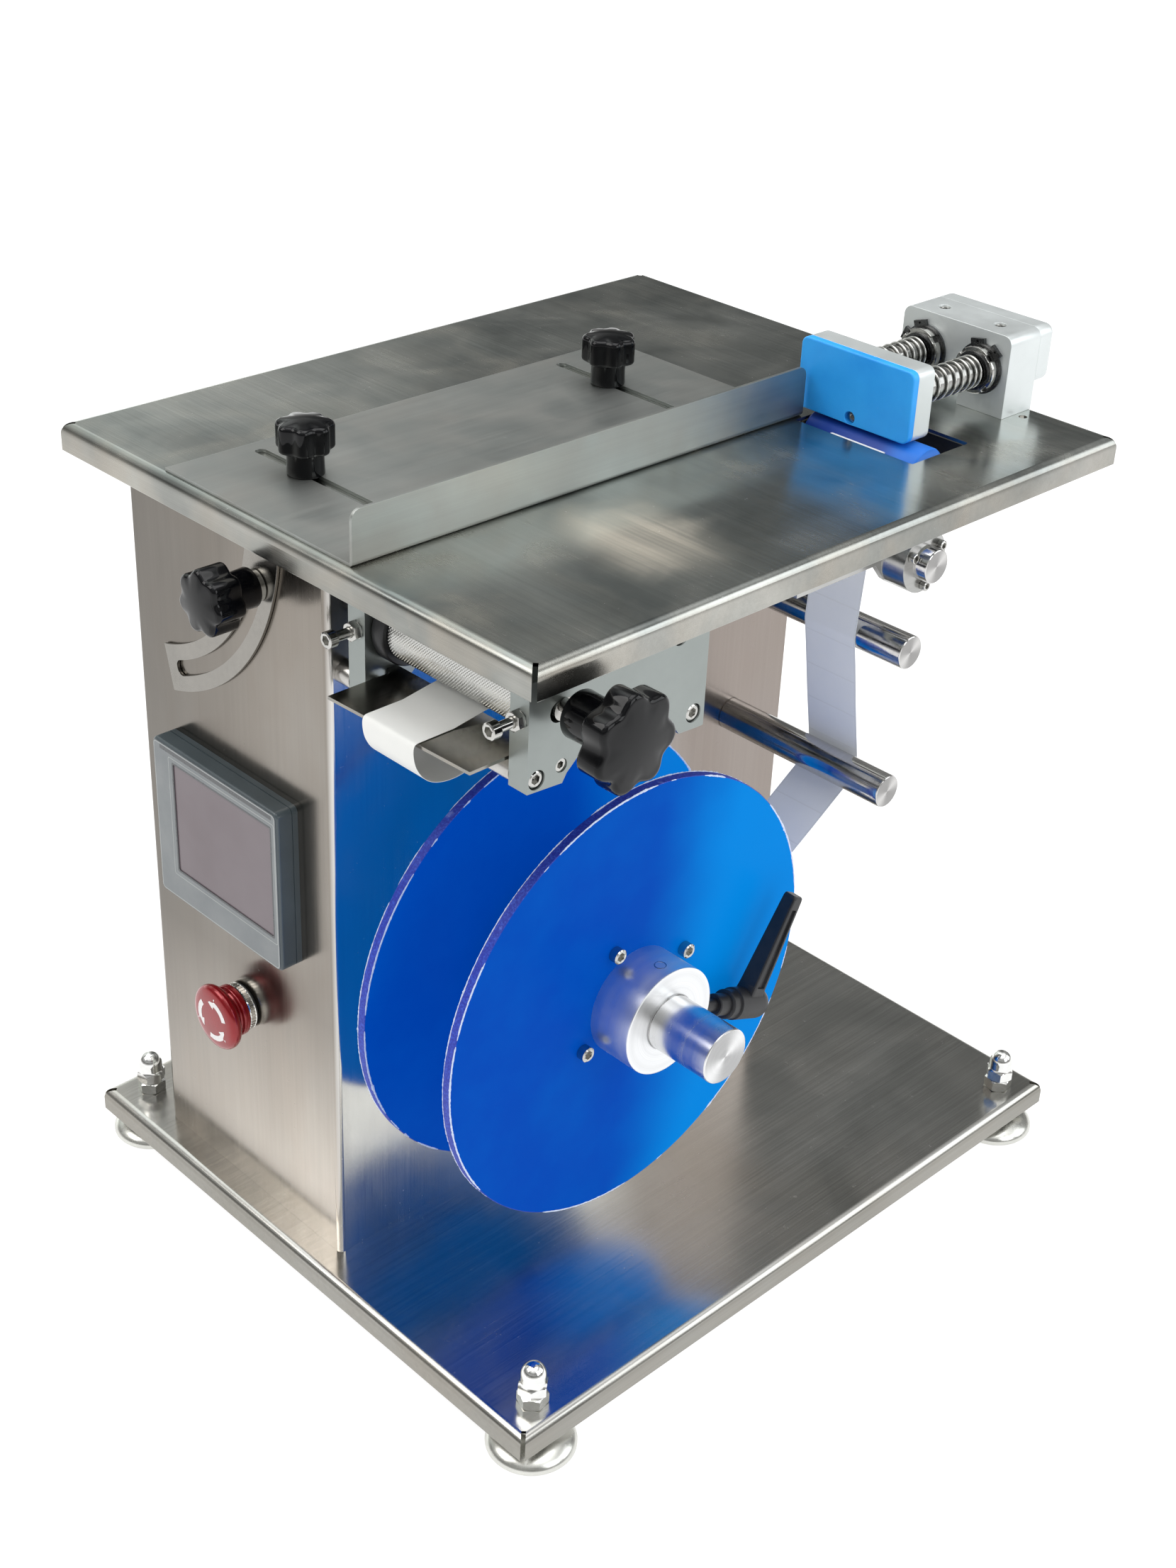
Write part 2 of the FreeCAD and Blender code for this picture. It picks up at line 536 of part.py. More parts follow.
# outer plate with its flanged clamp collar on the upper rod
opts = [(268, -70), (268, -60), (288, -46), (330, -31), (372, -31), (384, -44), (386, -68), (380, -82),
        (350, -82), (340, -70)]
bo = prism([(-66.0, a, b) for a, b in opts], (4.0, 0, 0)).fuse(cx(-66.0, -45.0, uy, uz, 20.0))
bo = bo.cut(cx(-70, -40, uy, uz, ROD_R + 0.02))
for a in (153, 273, 33):
    t = math.radians(a)
    bo = bo.cut(cx(-58, -44, uy + 15.2 * math.cos(t), uz + 15.2 * math.sin(t), 1.95))
# inner plate, also clamped on the rod, carries the roller axle
ipts = [(268, -70), (268, -60), (288, -46), (340, -30), (350, -6), (356, -3.8), (372, -3.8), (379, -8),
        (383, -30), (386, -68), (380, -82), (350, -82), (340, -70)]
bi = prism([(-142.0, a, b) for a, b in ipts], (4.8, 0, 0)).fuse(cx(-160.0, -140.0, uy, uz, 20.0))
bi = bi.cut(cx(-162, -130, uy, uz, ROD_R + 0.02)).cut(cx(-150, -130, ROL_Y, ROL_Z, 4.0))
# cross plate that carries the peel plate
cross = box(-138.0, -65.0, 296, 326, -66.0, -62.0)
for xs in (-124.0, -75.0):
    cross = cross.cut(cz(-70, -50, xs, 309.0, 2.0))
# guard sheet behind the roller: the dark face seen through the table window
guard = box(-142.0, -47.5, 399.0, 401.0, -50.0, -3.6).fuse(box(-142.0, -62.0, 380.5, 401.0, -50.0, -48.0))
guard = guard.cut(box(-60.0, -40.0, 395, 405, -60, -30))
b = bo.fuse([bi, cross, guard])
put("roller_bracket", b.removeSplitter())

bs = []
for a in (153, 273, 33):
    t = math.radians(a)
    bs.append(cap_screw((-45.0, uy + 15.2 * math.cos(t), uz + 15.2 * math.sin(t)), (1, 0, 0), 4, 12.0))
s = cx(-145.0, -54.0, ROL_Y, ROL_Z, 3.95).fuse(hexprism(13, 5.0, (-147.0, ROL_Y, ROL_Z), (1, 0, 0)))
bs.append(s.removeSplitter())
for xs in (-124.0, -75.0):
    bs.append(cap_screw((xs, 309.0, -60.2), (0, 0, 1), 4, 5.8))
put("bracket_screws", *bs)

rol = cx(ROL_X[0], ROL_X[1], ROL_Y, ROL_Z, ROL_R).cut(cx(ROL_X[0] - 1, -53.0, ROL_Y, ROL_Z, 4.02))
put("applicator_roller", rol)

# peel plate: blade ahead of the web, foot on the cross plate
pk = [(300.0, -61.98), (341.2, -61.98), (345.4, -2.1), (344.9, -2.1), (342.6, -4.7), (339.5, -60.2),
      (300.0, -60.2)]
pe = prism([(-136.9, a, b) for a, b in pk], (87.9, 0, 0))
pe = pe.cut(box(-140, -130.0, 290, 350, -65, -28)).cut(box(-68.0, -40, 290, 350, -65, -28))
for xs in (-124.0, -75.0):
    pe = pe.cut(cz(-70, -50, xs, 309.0, 2.0))
put("peel_plate", pe.removeSplitter())

# ------------------------------------------------------------------
# label head
# ------------------------------------------------------------------
prof = [(12.4, -85), (37, -87), (38.5, -84.5), (40, -82), (43.5, -79), (49, -74), (54, -66), (62, -61.5),
        (100, -61.5), (108, -66), (112, -74), (117, -81), (123, -89), (138, -90), (142, -90),
        (142, -22), (12.4, -22)]


def plate(xa, xb, bore_end):
    s_ = prism([(xa, a, b_) for a, b_ in prof], (xb - xa, 0, 0))
    # guide slot of the sliding roller axle
    sl_ = box(xa - 1, xb + 1, KNURL[0] - 6, KNURL[0] + 4, KNURL[1] - 6.1, KNURL[1] + 6.1)
    sl_ = sl_.fuse([cx(xa - 1, xb + 1, KNURL[0] - 6, KNURL[1], 6.1), cx(xa - 1, xb + 1, KNURL[0] + 4, KNURL[1], 6.1)])
    s_ = s_.cut(sl_)
    s_ = s_.cut(cx(xa - 1, bore_end, DRIVE[0], DRIVE[1], 6.04))
    for (yy, zz) in STAND:
        s_ = s_.cut(cx(xa - 1, xb + 1, yy, zz, 3.1))
    # jack screw thread into the slot from the front face
    xm = (xa + xb) / 2
    s_ = s_.cut(cy(10, KNURL[0] - 8, xm, KNURL[1], 2.95))
    return s_


# the outer plate's bearing bore is blind: its outer face is plain there in the photo
outp = plate(OUT_PL[0], OUT_PL[1], -18.6)
for (yy, zz) in STAND:
    outp = outp.cut(cx(OUT_PL[1] - 6.5, OUT_PL[1] + 1, yy, zz, 5.6))
outp = outp.cut(cx(OUT_PL[1] - 10, OUT_PL[1] + 1, 36.0, -76.3, 4.0))
put("head_outer_plate", outp)
put("head_inner_plate", plate(IN_PL[0], IN_PL[1], IN_PL[1] + 1))

sps = []
for (yy, zz) in STAND:
    sps.append(cx(IN_PL[1], OUT_PL[0], yy, zz, 7.0).cut(cx(IN_PL[1] - 1, OUT_PL[0] + 1, yy, zz, 3.1)))
    sps.append(cx(TOW_X[1], IN_PL[0], yy, zz, 7.0).cut(cx(TOW_X[1] - 1, IN_PL[0] + 1, yy, zz, 3.1)))
for (yy, zz) in ((DRIVE[0] - 23.6, DRIVE[1] - 23.6), (DRIVE[0] + 23.6, DRIVE[1] - 23.6),
                 (DRIVE[0] - 23.6, DRIVE[1] + 23.6), (DRIVE[0] + 23.6, DRIVE[1] + 23.6)):
    sps.append(cx(-196.0, TOW_X[1] - T, yy, zz, 4.5).cut(cx(-197, TOW_X[1], yy, zz, 2.55)))
put("spacer_rods", *sps)

hs = []
for (yy, zz) in STAND:
    s = cap_screw((OUT_PL[1] - 6.5, yy, zz), (1, 0, 0), 6, 178 + OUT_PL[1] - 6.5)
    s = s.fuse(hexprism(10, 5, (TOW_X[1] - T - 5.0, yy, zz), (1, 0, 0)))
    hs.append(s)
s = cx(OUT_PL[1] - 10, OUT_PL[1] - 0.8, 36.0, -76.3, 3.9).cut(hexprism(4, 5, (OUT_PL[1] - 5, 36.0, -76.3), (1, 0, 0)))
hs.append(s)
hs += screws
put("machine_screws", *hs)

# guide plate below the head
gp = prism([(-140, -17, GUIDE_TOP - T), (-32.0, -12.5, GUIDE_TOP - T), (-32.0, 34, GUIDE_TOP - T),
            (-140, 34, GUIDE_TOP - T)], (0, 0, T))
gp = gp.fuse([box(-144.8, -139, 27, 34, GUIDE_TOP - T, GUIDE_TOP), box(-33, -30.7, 27, 34, GUIDE_TOP - T, GUIDE_TOP),
              box(-144.8, -143.3, 27, 34, -84, GUIDE_TOP), box(-32.2, -30.7, 27, 34, -84, GUIDE_TOP)])
put("guide_plate", gp.removeSplitter())

# jack screws and their nuts
js = []
for xm in ((OUT_PL[0] + OUT_PL[1]) / 2, (IN_PL[0] + IN_PL[1]) / 2):
    s = cap_screw((xm, -2.5, KNURL[1]), (0, -1, 0), 6, 27.0)
    n = hexprism(10, 5, (xm, 7.4, KNURL[1]), (0, 1, 0)).cut(cy(0, 20, xm, KNURL[1], 2.95))
    js += [s, n]
put("jack_screws", *js)

# sliding axle with bearing blocks (flats run in the slots)
ky, kz = KNURL
na = cx(-133.2, -33.0, ky, kz, 4.0)
for xa, xb in (OUT_PL, IN_PL):
    bl = box(xa - 0.0, xb + 0.0, ky - 3.0, ky + 3.0, kz - 6.0, kz + 6.0).fuse(
        [cx(xa, xb, ky - 3.0, kz, 6.0), cx(xa, xb, ky + 3.0, kz, 6.0)])
    na = na.fuse(bl)
na = na.fuse(cx(-147, -30, ky, kz, 4.0))
# threaded stud for the knob
na = na.fuse(cx(OUT_PL[1] - 1, -15.6, KNOB[0] + 0.5, KNOB[1], 2.8))
na = na.fuse(cx(-15.8, 12.0, KNOB[0] + 0.5, KNOB[1], 3.9))
na = na.fuse(cx(-8.0, -5.2, KNOB[0], KNOB[1], 9.0))
put("nip_axle", na.removeSplitter())

kr = cx(-135.2, -33.5, ky, kz, KNURL_R).cut(cx(-140, -30, ky, kz, 4.03))
put("knurled_roller", kr)
rf = cx(-144.4, -135.2, ky, kz, 23.0).cut(cx(-145, -130, ky, kz, 4.03))
# relief so the disc clears the drive roller beside it
put("roller_flange", rf)

dr = cx(-134.8, -34.0, DRIVE[0], DRIVE[1], DRIVE_R).cut(cx(-140, -30, DRIVE[0], DRIVE[1], 8.0))
put("drive_roller", dr)
ds = cx(-134.8, -34.0, DRIVE[0], DRIVE[1], 8.0)
ds = ds.fuse([cx(-177.0, -18.9, DRIVE[0], DRIVE[1], 6.0), cx(-194.5, -176.0, DRIVE[0], DRIVE[1], 11.0)])
ds = ds.cut(cx(-195, -184, DRIVE[0], DRIVE[1], 4.0))
put("drive_shaft", ds.removeSplitter())

hk = star_knob((-5.0, KNOB[0], KNOB[1]), (1, 0, 0), 13.5, 25.0, 28.0, 17.0, 7, 3.2, 4.45, 18.0, 2.0, 6)
put("head_knob", hk)

# motor behind the tower wall
mo = box(-272.0, -196.0, DRIVE[0] - 28.4, DRIVE[0] + 28.4, DRIVE[1] - 28.4, DRIVE[1] + 28.4)
eds = [e for e in mo.Edges if abs(e.BoundBox.XLength - 76) < 1e-6]
mo = mo.makeChamfer(4.0, eds)
mo = mo.fuse(cx(-197, -194.7, DRIVE[0], DRIVE[1], 19.0)).fuse(cx(-197, -184.2, DRIVE[0], DRIVE[1], 3.95))
for (yy, zz) in ((DRIVE[0] - 23.6, DRIVE[1] - 23.6), (DRIVE[0] + 23.6, DRIVE[1] - 23.6),
                 (DRIVE[0] - 23.6, DRIVE[1] + 23.6), (DRIVE[0] + 23.6, DRIVE[1] + 23.6)):
    mo = mo.cut(cx(-202, -190, yy, zz, 2.5))
put("drive_motor", mo.removeSplitter())

# ------------------------------------------------------------------
# reel
# ------------------------------------------------------------------
ry, rz = REEL
bh = cx(TOW_X[1] - T - 8, TOW_X[1] - T, ry, rz, 45.0).fuse(cx(-236.0, TOW_X[1] - T - 7, ry, rz, 29.0))
bh = bh.cut(cx(-240, -160, ry, rz, 23.5))
for k in range(4):
    t = math.radians(45 + 90 * k)
    bh = bh.cut(cx(-190, -160, ry + 36 * math.cos(t), rz + 36 * math.sin(t), 2.6))
bh = bh.cut(cx(-182.0, -160, ry, rz, 23.5))
bears = []
for xa in (-196.0, -233.0):
    bears.append(cx(xa, xa + 14.0, ry, rz, 23.48).cut(cx(xa - 1, xa + 15, ry, rz, 10.03)))
bscr = []
for k in range(4):
    t = math.radians(45 + 90 * k)
    s = cap_screw((TOW_X[1], ry + 36 * math.cos(t), rz + 36 * math.sin(t)), (1, 0, 0), 5, 9.0)
    bscr.append(s)
put("reel_bearings", bh.removeSplitter(), *(bears + bscr))

rs = cx(-168.5, RSHAFT_END, ry, rz, RSHAFT_R)
eds = [e for e in rs.Edges if abs(e.BoundBox.XMin - RSHAFT_END) < 1e-6 and e.BoundBox.XLength < 1e-6]
rs = rs.makeChamfer(0.8, eds)
rs = rs.fuse([cx(-240.0, -168.0, ry, rz, 10.0), cx(-240.0, -235.5, ry, rz, 13.0)])
# relief groove in front of the hub
rs = rs.cut(cx(-19.9, -18.9, ry, rz, 20.0).cut(cx(-21.0, -18.0, ry, rz, RSHAFT_R - 0.5)))
put("reel_shaft", rs.removeSplitter())

bf = cx(-143.0, BACK_DISC[0], ry, rz, 40.0).fuse(cx(BACK_DISC[1], -66.0, ry, rz, 37.6))
bf = bf.fuse(cx(-131, -124, ry, rz, 20.0))
bf = bf.cut(cx(-150, -50, ry, rz, RSHAFT_R)).cut(cx(-114, -60, ry, rz, 30.0))
bf = bf.fuse(cx(-72.0, -66.0, ry, rz, 37.6).cut(cx(-80, -60, ry, rz, RSHAFT_R)))
bd2 = cx(BACK_DISC[0], BACK_DISC[1], ry, rz, DISC_R).cut(cx(-140, -120, ry, rz, 20.0))
put("back_disc", bd2)
put("back_flange", bf.removeSplitter())

core = cx(WEB_X[0] - 1, WEB_X[1] + 1, ry, rz, 40.5).cut(cx(-120, -60, ry, rz, 37.75))
roll = cx(WEB_X[0], WEB_X[1], ry, rz, ROLL_R).cut(cx(-120, -60, ry, rz, 40.55))
put("label_roll", core, roll)

fd = cx(FRONT_DISC[0], FRONT_DISC[1], ry, rz, DISC_R).cut(cx(-60, -40, ry, rz, 22.0))
hub = cx(HUB[0], HUB[1], ry, rz, HUB_R)
eds = [e for e in hub.Edges if abs(e.BoundBox.XMin - HUB[1]) < 1e-6 and e.BoundBox.XLength < 1e-6]
hub = hub.makeChamfer(0.6, eds)
hub = hub.fuse([cx(-57, -49, ry, rz, 21.9), cx(-65.0, FRONT_DISC[0], ry, rz, 53.0)])
hub = hub.cut(cx(-70, 0, ry, rz, RSHAFT_R + 0.05))
LEV = -22.5
ca, sa = math.cos(math.radians(LEV)), math.sin(math.radians(LEV))
hub = hub.cut(Part.makeCylinder(4.05, 40, V(-35, ry + 17 * ca, rz + 17 * sa), V(0, ca, sa)))
hscr = []
for a in (24, 114, 204, 294):
    t = math.radians(a)
    yy, zz = ry + 45 * math.cos(t), rz + 45 * math.sin(t)
    fd = fd.cut(cx(-60, -40, yy, zz, 3.1))
    hub = hub.cut(cx(-66, -55.5, yy, zz, 2.95))
    s = cap_screw((FRONT_DISC[1], yy, zz), (1, 0, 0), 6, 13.5)
    hscr.append(s)
# radial set screw on top of the hub
hub = hub.cut(cz(rz + 20, rz + 40, -30.0, ry, 2.6))
ss = cz(rz + 24, rz + 34.0, -30.0, ry, 2.5).cut(hexprism(2.6, 3, (-30.0, ry, rz + 31.2), (0, 0, 1)))
hscr.append(ss)
put("front_disc", fd)
put("reel_hub", hub.removeSplitter())
put("reel_hub_screws", *hscr)

# clamp lever on its radial stud
ax = V(0, ca, sa)


def at(r):
    return V(-35.0, ry + r * ca, rz + r * sa)


lev = Part.makeCylinder(4.0, 66, at(18.5), ax)
lev = lev.fuse(Part.makeCylinder(7.0, 14, at(60.0), ax))
lev = lev.fuse(Part.makeCylinder(9.3, 8, at(71.0), ax))
lev = lev.fuse(Part.makeCylinder(10.2, 23, at(78.0), ax))
lev = lev.fuse(Part.makeSphere(10.2, at(101.0)))
tip = V(-33.0, 257.6, -257.7)
root = at(95.0)
d = tip - root
L = d.Length
d.normalize()
side = V(1, 0, 0) - d * d.x
side.normalize()
up = d.cross(side)
secs = []
for f, wd, hh in ((0.0, 7.2, 6.8), (0.45, 6.2, 5.6), (1.0, 5.2, 4.6)):
    c = root + d * (L * f)
    pts = []
    for k in range(12):
        t = math.radians(30 * k + 15)
        cc, s2 = math.cos(t), math.sin(t)
        q = (abs(cc) ** 4 + abs(s2) ** 4) ** -0.25
        pts.append(c + side * (wd * cc * q) + up * (hh * s2 * q))
    secs.append(Part.makePolygon(pts + [pts[0]]))
arm = Part.makeLoft(secs, True, True)
lev = lev.fuse(arm).removeSplitter()
put("clamp_lever", lev)

# ------------------------------------------------------------------
# electronics in the tower, power inlet at the rear
# ------------------------------------------------------------------
psu = box(-349.0, -311.0, 120, 280, -470, -371)
ctl = box(-349.0, -325.0, 120, 280, -350, -250)
rail1 = box(-354.8, -349.0, 110, 290, -420, -412)
rail2 = box(-354.8, -349.0, 110, 290, -304, -296)
put("control_unit", psu.fuse(rail1).removeSplitter(), ctl.fuse(rail2).removeSplitter())
inl = box(CUP[0] - 13.5, CUP[0] + 13.5, y1 - 24, y1 + 0.5, CUP[1] - 10, CUP[1] + 10)
inl = inl.fuse(box(CUP[0] - 25, CUP[0] + 25, y1, y1 + 2.2, CUP[1] - 11.5, CUP[1] + 11.5))
inl = inl.cut(box(CUP[0] - 11.6, CUP[0] + 11.6, y1 - 18, y1 + 3, CUP[1] - 7.6, CUP[1] + 7.6))
for dx, dz in ((-7, -1.8), (7, -1.8), (0, 2.2)):
    inl = inl.fuse(cy(y1 - 19, y1 - 4, CUP[0] + dx, CUP[1] + dz, 1.1))
put("power_inlet", inl.removeSplitter())

# ------------------------------------------------------------------
# paper web: supply up to the peel edge, liner back to the nip and out
# ------------------------------------------------------------------
TW = 0.4
g = 0.3


def line_tan(c1, r1, s1, c2, r2, s2):
    """tangent from circle 1 to circle 2; s = +1 centre left of the run, -1 right"""
    dx, dy = c2[0] - c1[0], c2[1] - c1[1]
    dd = math.hypot(dx, dy)
    th = math.atan2(dy, dx) - math.asin((s2 * r2 - s1 * r1) / dd)
    n_ = (-math.sin(th), math.cos(th))
    return ((c1[0] - n_[0] * s1 * r1, c1[1] - n_[1] * s1 * r1),
            (c2[0] - n_[0] * s2 * r2, c2[1] - n_[1] * s2 * r2))


def wrap(c, qa, qb, n, ccw):
    a0 = math.degrees(math.atan2(qa[1] - c[1], qa[0] - c[0]))
    a1 = math.degrees(math.atan2(qb[1] - c[1], qb[0] - c[0]))
    if ccw and a1 < a0:
        a1 += 360
    if not ccw and a1 > a0:
        a1 -= 360
    return arc(c[0], c[1], math.hypot(qa[0] - c[0], qa[1] - c[1]), a0, a1, n)


def band(pts, xa, xb, t):
    """band centred on the (y, z) run"""
    lo, hi = [], []
    n = len(pts)
    for k in range(n):
        p0, p1 = pts[max(0, k - 1)], pts[min(n - 1, k + 1)]
        if 0 < k < n - 1:
            ax_, ay_ = pts[k][0] - p0[0], pts[k][1] - p0[1]
            bx_, by_ = p1[0] - pts[k][0], p1[1] - pts[k][1]
            la, lb = math.hypot(ax_, ay_), math.hypot(bx_, by_)
            na_, nb_ = (-ay_ / la, ax_ / la), (-by_ / lb, bx_ / lb)
            mx, my = na_[0] + nb_[0], na_[1] + nb_[1]
            lm = math.hypot(mx, my)
            mx, my = mx / lm, my / lm
            kk = 1.0 / max(0.6, mx * na_[0] + my * na_[1])
        else:
            ux, uy_ = p1[0] - p0[0], p1[1] - p0[1]
            lu = math.hypot(ux, uy_)
            mx, my, kk = -uy_ / lu, ux / lu, 1.0
        hi.append((pts[k][0] + mx * kk * t / 2, pts[k][1] + my * kk * t / 2))
        lo.append((pts[k][0] - mx * kk * t / 2, pts[k][1] - my * kk * t / 2))
    ring = [(xa, a, b) for a, b in hi] + [(xa, a, b) for a, b in reversed(lo)]
    return prism(ring, (xb - xa, 0, 0))


rr = ROD_R + g + TW / 2
top = (347.0, -0.9)
pA, pB = line_tan(REEL, ROLL_R + g + TW / 2, 1, RODS[0], rr, 1)
pC, pD = line_tan(RODS[0], rr, 1, RODS[1], rr, -1)
pE, pF = line_tan(RODS[1], rr, -1, top, 0.0, 1)
run = [pA] + wrap(RODS[0], pB, pC, 10, True) + wrap(RODS[1], pD, pE, 5, False) + [top]
put("web_supply", band(run, WEB_X[0], WEB_X[1], TW))

# liner: from the edge forward over the drive roller, down through the nip,
# under the knurled roller and over the front of the guide plate
rd = DRIVE_R + 0.25 + TW / 2
rk = KNURL_R + 0.25 + TW / 2
e2 = (342.8, -3.55)
qA, qB = line_tan(e2, 0.0, 1, DRIVE, rd, 1)
nip = (DRIVE[0] - rd, DRIVE[1])
w1 = wrap(DRIVE, qB, nip, 10, True)
tip2 = (10.0, GUIDE_TOP + 0.55)
qC, qD = line_tan(KNURL, rk, -1, tip2, 0.0, 1)
w2 = wrap(KNURL, (KNURL[0] + rk, KNURL[1]), qC, 12, False)
lin = [(346.2, -0.9), (345.3, -0.95), e2] + w1 + w2[1:] + [tip2, (-14.6, GUIDE_TOP + 0.55), (-16.2, -69.2),
       (-16.9, -71.5), (-16.7, -77), (-15.0, -83), (-11.0, -89.5), (-5.0, -94.5), (3.0, -97.3), (12.0, -98.0),
       (21.0, -96.6), (29.0, -93.2)]
put("liner_return", band(lin, WEB_X[0], WEB_X[1], TW))

# ------------------------------------------------------------------
# write the files
# ------------------------------------------------------------------
for name in sorted(OUT):
    shp = OUT[name]
    sol = shp.Solids
    if not shp.isValid() or not sol:
        print("bad shape", name, shp.isValid(), len(sol))
    if len(sol) == 1:
        shp = sol[0]
    shp.exportStep("parts/%s.step" % name)
bb = None
for shp in OUT.values():
    b_ = shp.BoundBox
    bb = FreeCAD.BoundBox(b_) if bb is None else bb.united(b_)
print(len(OUT), "nodes; box", bb)
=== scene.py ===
import bpy
import bmesh
import json
import math
import random
from mathutils import Vector, Matrix
from mathutils.geometry import delaunay_2d_cdt
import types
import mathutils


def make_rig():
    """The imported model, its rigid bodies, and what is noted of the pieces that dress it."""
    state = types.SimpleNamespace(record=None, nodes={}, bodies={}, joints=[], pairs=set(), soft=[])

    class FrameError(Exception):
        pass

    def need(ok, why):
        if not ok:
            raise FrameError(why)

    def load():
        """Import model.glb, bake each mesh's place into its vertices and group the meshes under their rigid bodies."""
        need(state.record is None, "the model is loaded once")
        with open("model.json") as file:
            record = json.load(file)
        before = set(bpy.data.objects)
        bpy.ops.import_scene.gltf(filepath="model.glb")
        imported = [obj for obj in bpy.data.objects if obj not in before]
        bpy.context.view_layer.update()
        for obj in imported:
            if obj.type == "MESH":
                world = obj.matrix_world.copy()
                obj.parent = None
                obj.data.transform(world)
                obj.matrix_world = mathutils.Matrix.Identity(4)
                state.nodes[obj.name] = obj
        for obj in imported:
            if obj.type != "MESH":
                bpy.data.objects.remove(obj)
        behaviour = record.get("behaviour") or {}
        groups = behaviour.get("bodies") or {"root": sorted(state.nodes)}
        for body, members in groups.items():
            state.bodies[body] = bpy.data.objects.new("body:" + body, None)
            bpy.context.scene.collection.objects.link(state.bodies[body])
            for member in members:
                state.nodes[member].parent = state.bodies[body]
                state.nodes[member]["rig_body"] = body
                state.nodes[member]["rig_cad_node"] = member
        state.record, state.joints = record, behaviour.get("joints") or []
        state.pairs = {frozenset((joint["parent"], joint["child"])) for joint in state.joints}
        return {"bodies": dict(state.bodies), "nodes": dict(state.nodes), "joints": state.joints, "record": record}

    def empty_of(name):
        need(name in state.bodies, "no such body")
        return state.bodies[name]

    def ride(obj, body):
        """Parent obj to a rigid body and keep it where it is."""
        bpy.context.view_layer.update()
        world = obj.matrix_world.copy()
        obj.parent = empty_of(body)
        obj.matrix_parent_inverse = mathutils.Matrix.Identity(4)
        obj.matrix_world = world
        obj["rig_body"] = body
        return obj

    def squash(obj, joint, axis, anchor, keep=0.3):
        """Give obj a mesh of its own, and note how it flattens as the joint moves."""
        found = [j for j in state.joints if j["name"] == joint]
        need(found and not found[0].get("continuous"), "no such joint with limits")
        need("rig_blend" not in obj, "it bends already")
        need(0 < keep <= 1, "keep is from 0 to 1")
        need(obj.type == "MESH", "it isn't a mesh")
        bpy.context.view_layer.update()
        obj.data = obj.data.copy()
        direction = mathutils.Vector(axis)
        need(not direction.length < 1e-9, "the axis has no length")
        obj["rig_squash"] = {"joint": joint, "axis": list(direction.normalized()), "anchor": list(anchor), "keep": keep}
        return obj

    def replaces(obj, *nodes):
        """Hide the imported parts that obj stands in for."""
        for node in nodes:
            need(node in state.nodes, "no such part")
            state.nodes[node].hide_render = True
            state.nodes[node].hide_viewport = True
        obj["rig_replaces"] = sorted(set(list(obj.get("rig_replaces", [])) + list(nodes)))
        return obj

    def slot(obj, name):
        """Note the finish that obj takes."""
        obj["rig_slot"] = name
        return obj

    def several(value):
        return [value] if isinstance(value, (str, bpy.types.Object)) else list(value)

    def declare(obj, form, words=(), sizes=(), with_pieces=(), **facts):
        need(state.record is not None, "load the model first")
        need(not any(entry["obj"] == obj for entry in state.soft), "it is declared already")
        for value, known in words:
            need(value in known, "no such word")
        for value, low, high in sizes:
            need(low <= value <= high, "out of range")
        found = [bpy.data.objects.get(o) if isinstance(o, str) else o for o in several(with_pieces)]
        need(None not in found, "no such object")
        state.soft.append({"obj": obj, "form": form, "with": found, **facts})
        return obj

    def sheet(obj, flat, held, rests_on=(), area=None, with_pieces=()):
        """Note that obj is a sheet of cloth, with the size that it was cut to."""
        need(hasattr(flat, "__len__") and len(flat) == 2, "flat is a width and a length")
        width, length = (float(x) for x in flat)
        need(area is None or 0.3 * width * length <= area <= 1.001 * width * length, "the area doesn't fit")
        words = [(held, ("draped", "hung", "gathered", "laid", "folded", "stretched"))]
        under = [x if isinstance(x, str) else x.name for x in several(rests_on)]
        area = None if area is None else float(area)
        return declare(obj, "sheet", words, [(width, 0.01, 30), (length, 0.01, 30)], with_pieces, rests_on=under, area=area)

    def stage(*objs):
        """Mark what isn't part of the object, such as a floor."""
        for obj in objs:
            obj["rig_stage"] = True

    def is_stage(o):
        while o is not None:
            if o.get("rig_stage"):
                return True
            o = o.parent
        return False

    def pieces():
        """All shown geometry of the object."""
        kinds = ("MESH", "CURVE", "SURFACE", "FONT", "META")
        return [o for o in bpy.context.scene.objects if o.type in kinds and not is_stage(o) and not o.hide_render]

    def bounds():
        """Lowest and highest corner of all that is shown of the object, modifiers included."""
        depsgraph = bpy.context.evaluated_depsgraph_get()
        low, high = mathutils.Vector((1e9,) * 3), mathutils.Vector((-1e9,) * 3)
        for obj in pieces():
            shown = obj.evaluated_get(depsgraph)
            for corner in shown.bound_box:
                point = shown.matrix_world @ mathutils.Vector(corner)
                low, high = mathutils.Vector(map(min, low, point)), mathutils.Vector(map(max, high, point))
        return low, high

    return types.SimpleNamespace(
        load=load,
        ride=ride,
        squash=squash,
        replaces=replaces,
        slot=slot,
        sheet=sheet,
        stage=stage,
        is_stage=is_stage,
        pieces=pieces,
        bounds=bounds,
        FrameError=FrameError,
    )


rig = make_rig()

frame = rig.load()
NODES = frame["nodes"]
CAD_LO, CAD_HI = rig.bounds()
MM = 0.001
OFF = (190.25, -230.3, 528.5)            # the table's own frame to the row frame, mm
rng = random.Random(11)


def P(x, y, z):
    return Vector(((x + OFF[0]) * MM, (y + OFF[1]) * MM, (z + OFF[2]) * MM))


